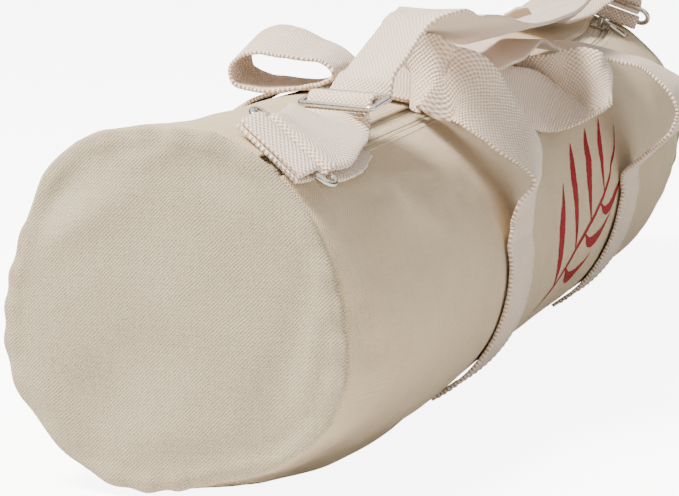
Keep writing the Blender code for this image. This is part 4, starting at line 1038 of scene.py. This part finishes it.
def sew_thread(name, routes, sizes, stuff):
    """Rows of separate stitches along routes of points, each a small rounded bar lying on the cloth."""
    points = []
    faces = []
    sides = 6
    for route, lifts in routes:
        gone = np.concatenate(([0.0], np.cumsum(np.linalg.norm(np.diff(route, axis=0), axis=1))))
        pitch = sizes.stitch_length + sizes.stitch_gap
        for number in range(int(gone[-1] / pitch)):
            start = number * pitch
            ring_places = np.array((0.0, 0.12, 0.5, 0.88, 1.0)) * sizes.stitch_length + start
            swell = (0.35, 0.9, 1.0, 0.9, 0.35)
            sink = (-1.0, 0.15, 0.55, 0.15, -1.0)
            middle = np.stack([np.interp(ring_places, gone, route[:, axis]) for axis in range(3)], axis=-1)
            out = unit(np.stack([np.interp(ring_places, gone, lifts[:, axis]) for axis in range(3)], axis=-1))
            way = unit(middle[-1] - middle[0])
            side = unit(np.cross(way, out[2]))
            base = len(points)
            for ring in range(5):
                centre = middle[ring] + out[ring] * sizes.thread_radius * sink[ring]
                for spoke in range(sides):
                    turn = 2 * math.pi * spoke / sides
                    reach = sizes.thread_radius * swell[ring]
                    points.append(centre + (side * math.cos(turn) + out[ring] * math.sin(turn)) * reach)
            faces += moved_faces(grid_faces(5, sides, True), base)
            faces.append(tuple(base + spoke for spoke in reversed(range(sides))))
            faces.append(tuple(base + 4 * sides + spoke for spoke in range(sides)))
    thing = add_mesh(name, points, faces, stuff)
    return settle_piece(thing, "bag", "cotton_webbing")


def tube_route(along, turn, lift):
    """Route of stitches over the cloth, with the way outwards at each point."""
    along, turn = np.broadcast_arrays(np.asarray(along, float), np.asarray(turn, float))
    return skin(along, turn, lift), tube_frame(along, turn)[3]


def web_route(run, start, end, across, lift):
    """Route of stitches on a webbing between two distances, at a place across it."""
    middles, widths, ways, gone, out = run
    places = np.linspace(start, end, max(3, int(abs(end - start) / 0.002)))
    across = np.broadcast_to(np.asarray(across, float), places.shape) if np.ndim(across) == 0 else np.linspace(across[0], across[1], len(places))
    middle = np.stack([np.interp(places, gone, middles[:, axis]) for axis in range(3)], axis=-1)
    width = np.stack([np.interp(places, gone, widths[:, axis]) for axis in range(3)], axis=-1)
    face = np.stack([np.interp(places, gone, out[:, axis]) for axis in range(3)], axis=-1)
    sign = 1 if lift > 0 else -1
    return middle + width * across[:, None] + face * (sign * WEB_THICK / 2), face * sign


# Brush strokes of the printed sprig: points in metres along and down the side, with the width at each
SPRIG_ORIGIN = (0.492, 84.0)
SPRIG = (
    ((0.000, 0.060, 0.0012), (0.018, 0.046, 0.0030), (0.040, 0.030, 0.0038),
     (0.066, 0.018, 0.0034), (0.094, 0.006, 0.0030),
     (0.122, -0.010, 0.0022), (0.146, -0.028, 0.0006)),
    ((0.016, 0.047, 0.0010), (0.006, 0.030, 0.0075), (0.002, 0.012, 0.0105),
     (0.010, -0.004, 0.0040), (0.016, -0.012, 0.0005)),
    ((0.040, 0.030, 0.0010), (0.034, 0.014, 0.0065), (0.036, -0.004, 0.0100),
     (0.046, -0.020, 0.0055), (0.056, -0.030, 0.0005)),
    ((0.066, 0.018, 0.0010), (0.064, 0.002, 0.0060), (0.070, -0.014, 0.0085),
     (0.082, -0.027, 0.0045), (0.092, -0.034, 0.0005)),
    ((0.094, 0.006, 0.0010), (0.096, -0.008, 0.0050), (0.104, -0.020, 0.0064),
     (0.116, -0.030, 0.0030), (0.124, -0.036, 0.0005)),
    ((0.028, 0.038, 0.0010), (0.042, 0.046, 0.0060), (0.060, 0.049, 0.0085),
     (0.076, 0.045, 0.0040), (0.088, 0.040, 0.0005)),
    ((0.056, 0.023, 0.0010), (0.070, 0.030, 0.0055), (0.088, 0.031, 0.0078),
     (0.104, 0.025, 0.0040), (0.114, 0.019, 0.0005)),
    ((0.086, 0.010, 0.0010), (0.098, 0.016, 0.0050), (0.114, 0.014, 0.0064),
     (0.128, 0.006, 0.0030), (0.136, 0.000, 0.0005)),
)


def print_sprig(sizes, stuff):
    """Printed sprig of brush strokes, a thin skin of ink on the side of the tube."""
    points = []
    faces = []
    flat = []
    start_along, start_turn = SPRIG_ORIGIN
    for stroke in SPRIG:
        rows = np.array(stroke)
        gone = np.concatenate(([0.0], np.cumsum(np.linalg.norm(np.diff(rows[:, :2], axis=0), axis=1))))
        places = np.linspace(0, gone[-1], max(12, int(gone[-1] / 0.0008)))
        path = smooth_path(rows, gone, places)
        ways = unit(np.gradient(path[:, :2], axis=0))
        sides = np.stack((-ways[:, 1], ways[:, 0]), axis=-1)
        ragged = 1 + 0.05 * np.sin(places * 1900 + len(points)) + 0.05 * np.sin(places * 710 + 1.3 * len(points))
        columns = 7
        spots = []
        for column in range(columns):
            share = -1 + 2 * column / (columns - 1)
            spot = path[:, :2] + sides * (path[:, 2] * ragged / 2 * share * sizes.sprig_scale)[:, None]
            spots.append(spot)
        spots = np.stack(spots, axis=1) * sizes.sprig_scale
        along = start_along + spots[..., 0] / LENGTH
        turn = start_turn + np.degrees(spots[..., 1] / RADIUS)
        base = len(points)
        grid = skin(along, turn, 0.00022)
        points.extend(grid.reshape(-1, 3))
        flat.extend(np.stack((along * LENGTH, np.radians(turn) * RADIUS), axis=-1).reshape(-1, 2))
        faces += moved_faces(grid_faces(len(places), columns), base)
    thing = add_mesh("printed_sprig", points, faces, stuff, np.array(flat))
    return settle_piece(thing, "bag", "tube_canvas")


def smooth_path(rows, gone, places):
    """Rows eased along their distance by a rounded spline."""
    out = []
    for axis in range(rows.shape[1]):
        values = rows[:, axis]
        slopes = np.gradient(values, gone)
        index = np.clip(np.searchsorted(gone, places) - 1, 0, len(gone) - 2)
        step = gone[index + 1] - gone[index]
        t = (places - gone[index]) / step
        out.append(curve_between(t, step, values[index], slopes[index], values[index + 1], slopes[index + 1]))
    return np.stack(out, axis=-1)


def colour_setting(name, description, default):
    """Setting of a colour as an sRGB hex value."""
    return bpy.props.StringProperty(name=name, description=description + ", sRGB hex", default=default)


def length_setting(name, description, default):
    """Setting of a length in metres."""
    return bpy.props.FloatProperty(name=name, description=description, default=default, unit="LENGTH", precision=5)


class MatBagCanvasSettings(bpy.types.PropertyGroup):
    """Canvas of the tube and the end panels."""
    colour: colour_setting("Canvas colour", "Lit colour of the tube's canvas", "#D2BE9C")
    # Painted shade for the gaps between the canvas threads.
    shade: colour_setting("Canvas shade", "Colour between the tube's threads", "#957E58")
    # The end panels are the same canvas as the tube, given darker colours as painted shade.
    end_colour_painted_shade: colour_setting("End colour", "Lit colour of the end panels", "#B4A88E")
    end_shade: colour_setting("End shade", "Colour between the end panels' threads", "#796D52")
    pitch: length_setting("Thread spacing", "Distance between threads as drawn", 0.00085)
    relief: length_setting("Weave relief", "Height of the weave", 0.0004)
    rows_along: bpy.props.IntProperty(name="Rows along", description="Rows of points along the tube", default=260)
    rows_around: bpy.props.IntProperty(name="Rows around", description="Rows of points around the tube", default=240)


class MatBagWebbingSettings(bpy.types.PropertyGroup):
    """Webbing of the handles, the strap and the tabs."""
    colour: colour_setting("Webbing colour", "Lit colour of the webbing", "#F7E8D6")
    # Painted shade between the raised stitches.
    shade: colour_setting("Webbing shade", "Colour between the raised stitches", "#A8825E")
    cell_wide: length_setting("Cell width", "Spacing of the raised stitches across", 0.00135)
    cell_long: length_setting("Cell length", "Spacing of the raised stitches along", 0.00105)
    relief: length_setting("Weave relief", "Height of the raised stitches", 0.0007)
    sample_step: length_setting("Sample step", "Distance between rows of points", 0.0016)


class MatBagTrimSettings(bpy.types.PropertyGroup):
    """Zip, hardware, thread and print."""
    tape_colour: colour_setting("Tape colour", "Colour of the zip tape", "#D9CDB4")
    # Painted shade between the ribs, mixed with the tape's own uneven tone.
    tape_shade: colour_setting("Tape shade", "Colour between the ribs of the zip tape", "#B3A488")
    coil_colour: colour_setting("Coil colour", "Colour of the zip coil", "#DCCFB2")
    nickel: colour_setting("Nickel", "Colour of the plated hardware", "#D8D3CA")
    thread_colour: colour_setting("Thread colour", "Colour of the sewing thread", "#F1E7DB")
    ink: colour_setting("Ink", "Colour of the printed sprig", "#96141C")
    # Darker ink, both for the ink's own uneven tone and for painted shade in the weave's gaps.
    ink_shade: colour_setting("Ink shade", "Thinner colour of the printed sprig", "#6E1018")
    coil_pitch: length_setting("Coil pitch", "Distance between loops of the coil", 0.0010)
    stitch_length: length_setting("Stitch length", "Length of one stitch", 0.0026)
    stitch_gap: length_setting("Stitch gap", "Gap between stitches", 0.0008)
    thread_radius: length_setting("Thread radius", "Radius of the sewing thread", 0.00032)
    sprig_scale: bpy.props.FloatProperty(name="Sprig scale", description="Scale of the printed sprig", default=1.0)


class MatBagStudioSettings(bpy.types.PropertyGroup):
    """Floor, lights and camera."""
    floor: colour_setting("Floor colour", "Colour of the floor", "#F6F4F1")
    key_power: bpy.props.FloatProperty(name="Key light", description="Power of the key light", default=80.0, unit="POWER")
    fill_power: bpy.props.FloatProperty(name="Fill light", description="Power of the fill light", default=5.0, unit="POWER")
    sky: bpy.props.FloatProperty(name="Surround", description="Strength of the white surround", default=0.55)
    backdrop: bpy.props.FloatProperty(name="Backdrop", description="Extra strength of the surround behind the bag", default=16.0)
    floor_glow: bpy.props.FloatProperty(name="Floor glow", description="Light that the floor shows the camera", default=7.0)
    lens: bpy.props.FloatProperty(name="Lens", description="Focal length in millimetres on a 36 mm sensor", default=143.15)


MADE = {}


class MATBAG_OT_canvas_tube(bpy.types.Operator):
    """Sew the canvas tube"""
    bl_idname = "matbag.canvas_tube"
    bl_label = "Canvas tube"

    def execute(self, context):
        sizes = context.scene.matbag_canvas
        stuff = cotton_canvas("unbleached_canvas", sizes.colour, sizes.shade, sizes.pitch, sizes.relief)
        sew_tube(sizes, stuff)
        MADE["tree"] = tube_tree()
        return {"FINISHED"}


class MATBAG_OT_end_panels(bpy.types.Operator):
    """Sew the round end panels"""
    bl_idname = "matbag.end_panels"
    bl_label = "End panels"

    def execute(self, context):
        sizes = context.scene.matbag_canvas
        # Darker copies of the canvas colours: painted shade for the shadowed end panels.
        stuff = cotton_canvas("end_canvas_painted_shade", sizes.end_colour_painted_shade, sizes.end_shade, sizes.pitch, sizes.relief)
        sew_panel("end_panel_near", 0.0, -1, NEAR_DENTS, NEAR_FOLDS, stuff, "end_near")
        sew_panel("end_panel_far", 1.0, 1, FAR_DENTS, FAR_FOLDS, stuff, "end_far")
        return {"FINISHED"}


class MATBAG_OT_zip(bpy.types.Operator):
    """Lay the zip tapes and wind the coil"""
    bl_idname = "matbag.zip"
    bl_label = "Zip"

    def execute(self, context):
        trim = context.scene.matbag_trim
        tape = zip_tape_cloth("woven_zip_tape", trim.tape_colour, trim.tape_shade)
        coil = nylon_coil("nylon_zip_coil", trim.coil_colour)
        lay_zip_tape("zip_tape_front_cloth", 1, tape, "zip_tape_front")
        lay_zip_tape("zip_tape_back_cloth", -1, tape, "zip_tape_back")
        wind_coil(trim, coil)
        return {"FINISHED"}


class MATBAG_OT_webbing(bpy.types.Operator):
    """Weave the handles, the shoulder strap and the ring tabs"""
    bl_idname = "matbag.webbing"
    bl_label = "Webbing"

    def execute(self, context):
        sizes = context.scene.matbag_webbing
        stuff = cotton_webbing("heavy_cotton_webbing", sizes.colour, sizes.shade, sizes.cell_wide, sizes.cell_long, sizes.relief)
        for name, rows, side in (("handle_front", HANDLE_FRONT_ROWS, 1), ("handle_back", HANDLE_BACK_ROWS, -1)):
            stations = strip_stations(STRIP_NEAR, side, side)
            stations += free_stations(rows)
            stations += list(reversed(strip_stations(STRIP_FAR, side, 1)))
            thing, run = weave_web(name + "_web", stations, sizes, stuff, MADE["tree"], side)
            settle_piece(thing, "bag", "cotton_webbing", name)
            MADE[name] = run
        thing, run = weave_web("shoulder_strap_web", strap_stations(), sizes, stuff, None, 2.0)
        settle_piece(thing, "bag", "cotton_webbing", "shoulder_strap")
        for name, ring, reaches in (("tab_near", NEAR_RING, TAB_NEAR_REACHES), ("tab_far", FAR_RING, TAB_FAR_REACHES)):
            thing, run = weave_web(name + "_web", tab_stations(ring, reaches), sizes, stuff, None, 4.0)
            settle_piece(thing, "bag", "cotton_webbing", name)
        return {"FINISHED"}


class MATBAG_OT_hardware(bpy.types.Operator):
    """Bend the rings and the strap slider, and finish the zip slider and its pull"""
    bl_idname = "matbag.hardware"
    bl_label = "Hardware"

    def execute(self, context):
        trim = context.scene.matbag_trim
        stuff = nickel_plate("nickel_plated_wire", trim.nickel)
        for name, ring in (("ring_near", NEAR_RING), ("ring_far", FAR_RING)):
            origin, axes = ring_frame(*ring)
            path = oval_path(RING_STRAIGHT, RING_BARS_APART)
            thing = bend_wire(name + "_wire", path, RING_WIRE, origin, axes, stuff)
            settle_piece(thing, "bag", "nickel_plated_steel", name)
        origin, axes = glide_frame()
        half = WEB_WIDTH / 2 + GLIDE_ROOM
        path = []
        for x_side, y_side in ((1, 1), (1, -1), (-1, -1), (-1, 1)):
            for step in range(8):
                angle = math.pi / 2 * step / 7
                swing = math.sin(angle) if x_side == y_side else math.cos(angle)
                rise = math.cos(angle) if x_side == y_side else math.sin(angle)
                path.append((x_side * (half + GLIDE_CORNER * (swing - 1) + GLIDE_WIRE),
                             y_side * (GLIDE_BARS_APART + GLIDE_CORNER * (rise - 1)), 0.0))
        thing = bend_wire("strap_slider_frame", path, GLIDE_WIRE, origin, axes, stuff)
        settle_piece(thing, "bag", "nickel_plated_steel", "strap_slider")
        reach = half + GLIDE_WIRE
        bar = bend_wire("strap_slider_bar", [(-reach, 0.0, 0.0), (reach, 0.0, 0.0)], GLIDE_WIRE, origin, axes, stuff, False)
        settle_piece(bar, "bag", "nickel_plated_steel")
        for node in ("zip_slider", "zip_pull"):
            solid = frame["nodes"][node]
            solid.data.materials.clear()
            solid.data.materials.append(stuff)
        return {"FINISHED"}


class MATBAG_OT_stitches(bpy.types.Operator):
    """Sew the topstitching of the zip and the handles"""
    bl_idname = "matbag.stitches"
    bl_label = "Stitches"

    def execute(self, context):
        trim = context.scene.matbag_trim
        stuff = cotton_thread("spun_cotton_thread", trim.thread_colour)
        routes = []
        along = np.linspace(0.014, 0.986, 400)
        for side in (-1, 1):
            away = SLOT_HALF + ZIP_SEAM_AWAY
            routes.append(tube_route(along, zip_turn(along) + side * math.degrees(away / RADIUS), 0.0))
        sew_thread("zip_stitches", routes, trim, stuff)
        routes = []
        for name in ("handle_front", "handle_back"):
            run = MADE[name]
            total = run[3][-1]
            sewn = math.radians(STRIP_LOW_TURN - STRIP_TOP_TURN) * RADIUS
            face = 1 if np.dot(run[4][3], run[0][3] - np.array((run[0][3][0], 0.0, RADIUS))) > 0 else -1
            back = 1 if np.dot(run[4][-4], run[0][-4] - np.array((run[0][-4][0], 0.0, RADIUS))) > 0 else -1
            for start, end, sign in ((0.002, sewn, face), (total - sewn, total - 0.002, back)):
                for across in (-HANDLE_SEAM, HANDLE_SEAM):
                    routes.append(web_route(run, start, end, across, sign))
                top = end if start < 0.1 else start
                routes.append(web_route(run, top, top + 0.00001, (-HANDLE_SEAM, HANDLE_SEAM), sign))
        sew_thread("handle_stitches", routes, trim, stuff)
        return {"FINISHED"}


class MATBAG_OT_sprig(bpy.types.Operator):
    """Print the sprig on the side"""
    bl_idname = "matbag.sprig"
    bl_label = "Printed sprig"

    def execute(self, context):
        trim = context.scene.matbag_trim
        stuff = fabric_ink("pressed_fabric_ink", trim.ink, trim.ink_shade, context.scene.matbag_canvas.pitch)
        print_sprig(trim, stuff)
        return {"FINISHED"}


def area_light(name, place, aim, size, power, colour):
    """Soft square light aimed at a point."""
    light = bpy.data.lights.new(name, "AREA")
    light.shape = "RECTANGLE"
    light.size, light.size_y = size
    light.energy = power
    light.color = linear(colour)
    thing = bpy.data.objects.new(name, light)
    thing.location = place
    thing.rotation_euler = (Vector(aim) - Vector(place)).to_track_quat("-Z", "Y").to_euler()
    bpy.context.scene.collection.objects.link(thing)


def light_surround(tree, studio):
    """White surround: burnt out behind the bag, and a dim banded room for the metal to mirror."""
    back = tree.nodes["Background"]
    path = add_node(tree, "ShaderNodeLightPath")
    place = add_node(tree, "ShaderNodeTexCoord")
    parts = add_node(tree, "ShaderNodeSeparateXYZ", None, {0: place.outputs["Generated"]})
    bands = add_node(tree, "ShaderNodeMapRange", {"From Min": 0.25, "From Max": 0.55, "To Min": 0.05, "To Max": 1.6}, {"Value": parts.outputs[2]})
    mirrored = maths(tree, "MULTIPLY", path.outputs["Is Glossy Ray"], maths(tree, "SUBTRACT", bands.outputs[0], studio.sky))
    seen = maths(tree, "MULTIPLY", path.outputs["Is Camera Ray"], studio.backdrop)
    strength = maths(tree, "ADD", maths(tree, "ADD", mirrored, studio.sky), seen)
    back.inputs["Color"].default_value = tint("#FFFFFF")
    tree.links.new(strength, back.inputs["Strength"])


class MATBAG_OT_studio(bpy.types.Operator):
    """Set the floor, the lights and the camera"""
    bl_idname = "matbag.studio"
    bl_label = "Studio"

    def execute(self, context):
        studio = context.scene.matbag_studio
        made, tree, shader = start_material("matt_floor_paper", {
            "Base Color": tint(studio.floor), "Roughness": 0.9, "Specular IOR Level": 0.2,
            "Emission Color": tint("#FFFFFF")})
        path = add_node(tree, "ShaderNodeLightPath")
        glow = maths(tree, "MULTIPLY", path.outputs["Is Camera Ray"], studio.floor_glow)
        tree.links.new(glow, shader.inputs["Emission Strength"])
        floor = add_mesh("studio_floor", [(-12, -12, 0), (12, -12, 0), (12, 12, 0), (-12, 12, 0)], [(0, 1, 2, 3)], made, None, False)
        floor.location = (0.0, 0.0, -0.0003)
        world = bpy.data.worlds.new("white_surround")
        world.use_nodes = True
        light_surround(world.node_tree, studio)
        context.scene.world = world
        area_light("key_light", (-0.75, 0.55, 1.35), (0.0, 0.0, 0.1), (0.45, 0.45), studio.key_power, "#FFF8F0")
        area_light("fill_light", (-0.9, -1.3, 0.8), (0.0, 0.0, 0.08), (1.2, 1.0), studio.fill_power, "#FFFFFF")
        camera = bpy.data.cameras.new("photo_camera")
        camera.lens = studio.lens
        camera.sensor_width = 36.0
        camera.clip_start = 0.05
        camera.clip_end = 60.0
        thing = bpy.data.objects.new("photo_camera", camera)
        yaw = math.radians(CAMERA_YAW)
        pitch = math.radians(CAMERA_PITCH)
        forward = Vector((math.cos(pitch) * math.cos(yaw), math.cos(pitch) * math.sin(yaw), -math.sin(pitch)))
        right = Vector((math.sin(yaw), -math.cos(yaw), 0.0))
        upright = right.cross(forward)
        turned = Matrix((right, upright, -forward)).transposed().to_4x4()
        thing.matrix_world = Matrix.Translation(CAMERA_PLACE) @ turned
        context.scene.collection.objects.link(thing)
        context.scene.camera = thing
        return {"FINISHED"}


class MATBAG_PT_panel(bpy.types.Panel):
    """Buttons of the mat bag"""
    bl_idname = "MATBAG_PT_panel"
    bl_label = "Mat bag"
    bl_space_type = "VIEW_3D"
    bl_region_type = "UI"
    bl_category = "Mat bag"

    def draw(self, context):
        for operator in OPERATORS:
            self.layout.operator(operator.bl_idname)


SETTINGS = (
    ("matbag_canvas", MatBagCanvasSettings), ("matbag_webbing", MatBagWebbingSettings),
    ("matbag_trim", MatBagTrimSettings), ("matbag_studio", MatBagStudioSettings),
)
OPERATORS = (
    MATBAG_OT_studio, MATBAG_OT_canvas_tube, MATBAG_OT_end_panels, MATBAG_OT_zip, MATBAG_OT_webbing,
    MATBAG_OT_hardware, MATBAG_OT_stitches, MATBAG_OT_sprig,
)


def register():
    """Register the settings, the operators and the panel."""
    for name, settings in SETTINGS:
        bpy.utils.register_class(settings)
        setattr(bpy.types.Scene, name, bpy.props.PointerProperty(type=settings))
    for operator in OPERATORS:
        bpy.utils.register_class(operator)
    bpy.utils.register_class(MATBAG_PT_panel)


def unregister():
    """Take them out again."""
    bpy.utils.unregister_class(MATBAG_PT_panel)
    for operator in reversed(OPERATORS):
        bpy.utils.unregister_class(operator)
    for name, settings in reversed(SETTINGS):
        delattr(bpy.types.Scene, name)
        bpy.utils.unregister_class(settings)


def main():
    """Make every piece in order."""
    register()
    for operator in OPERATORS:
        group, call = operator.bl_idname.split(".")
        getattr(getattr(bpy.ops, group), call)()


if __name__ == "__main__":
    main()
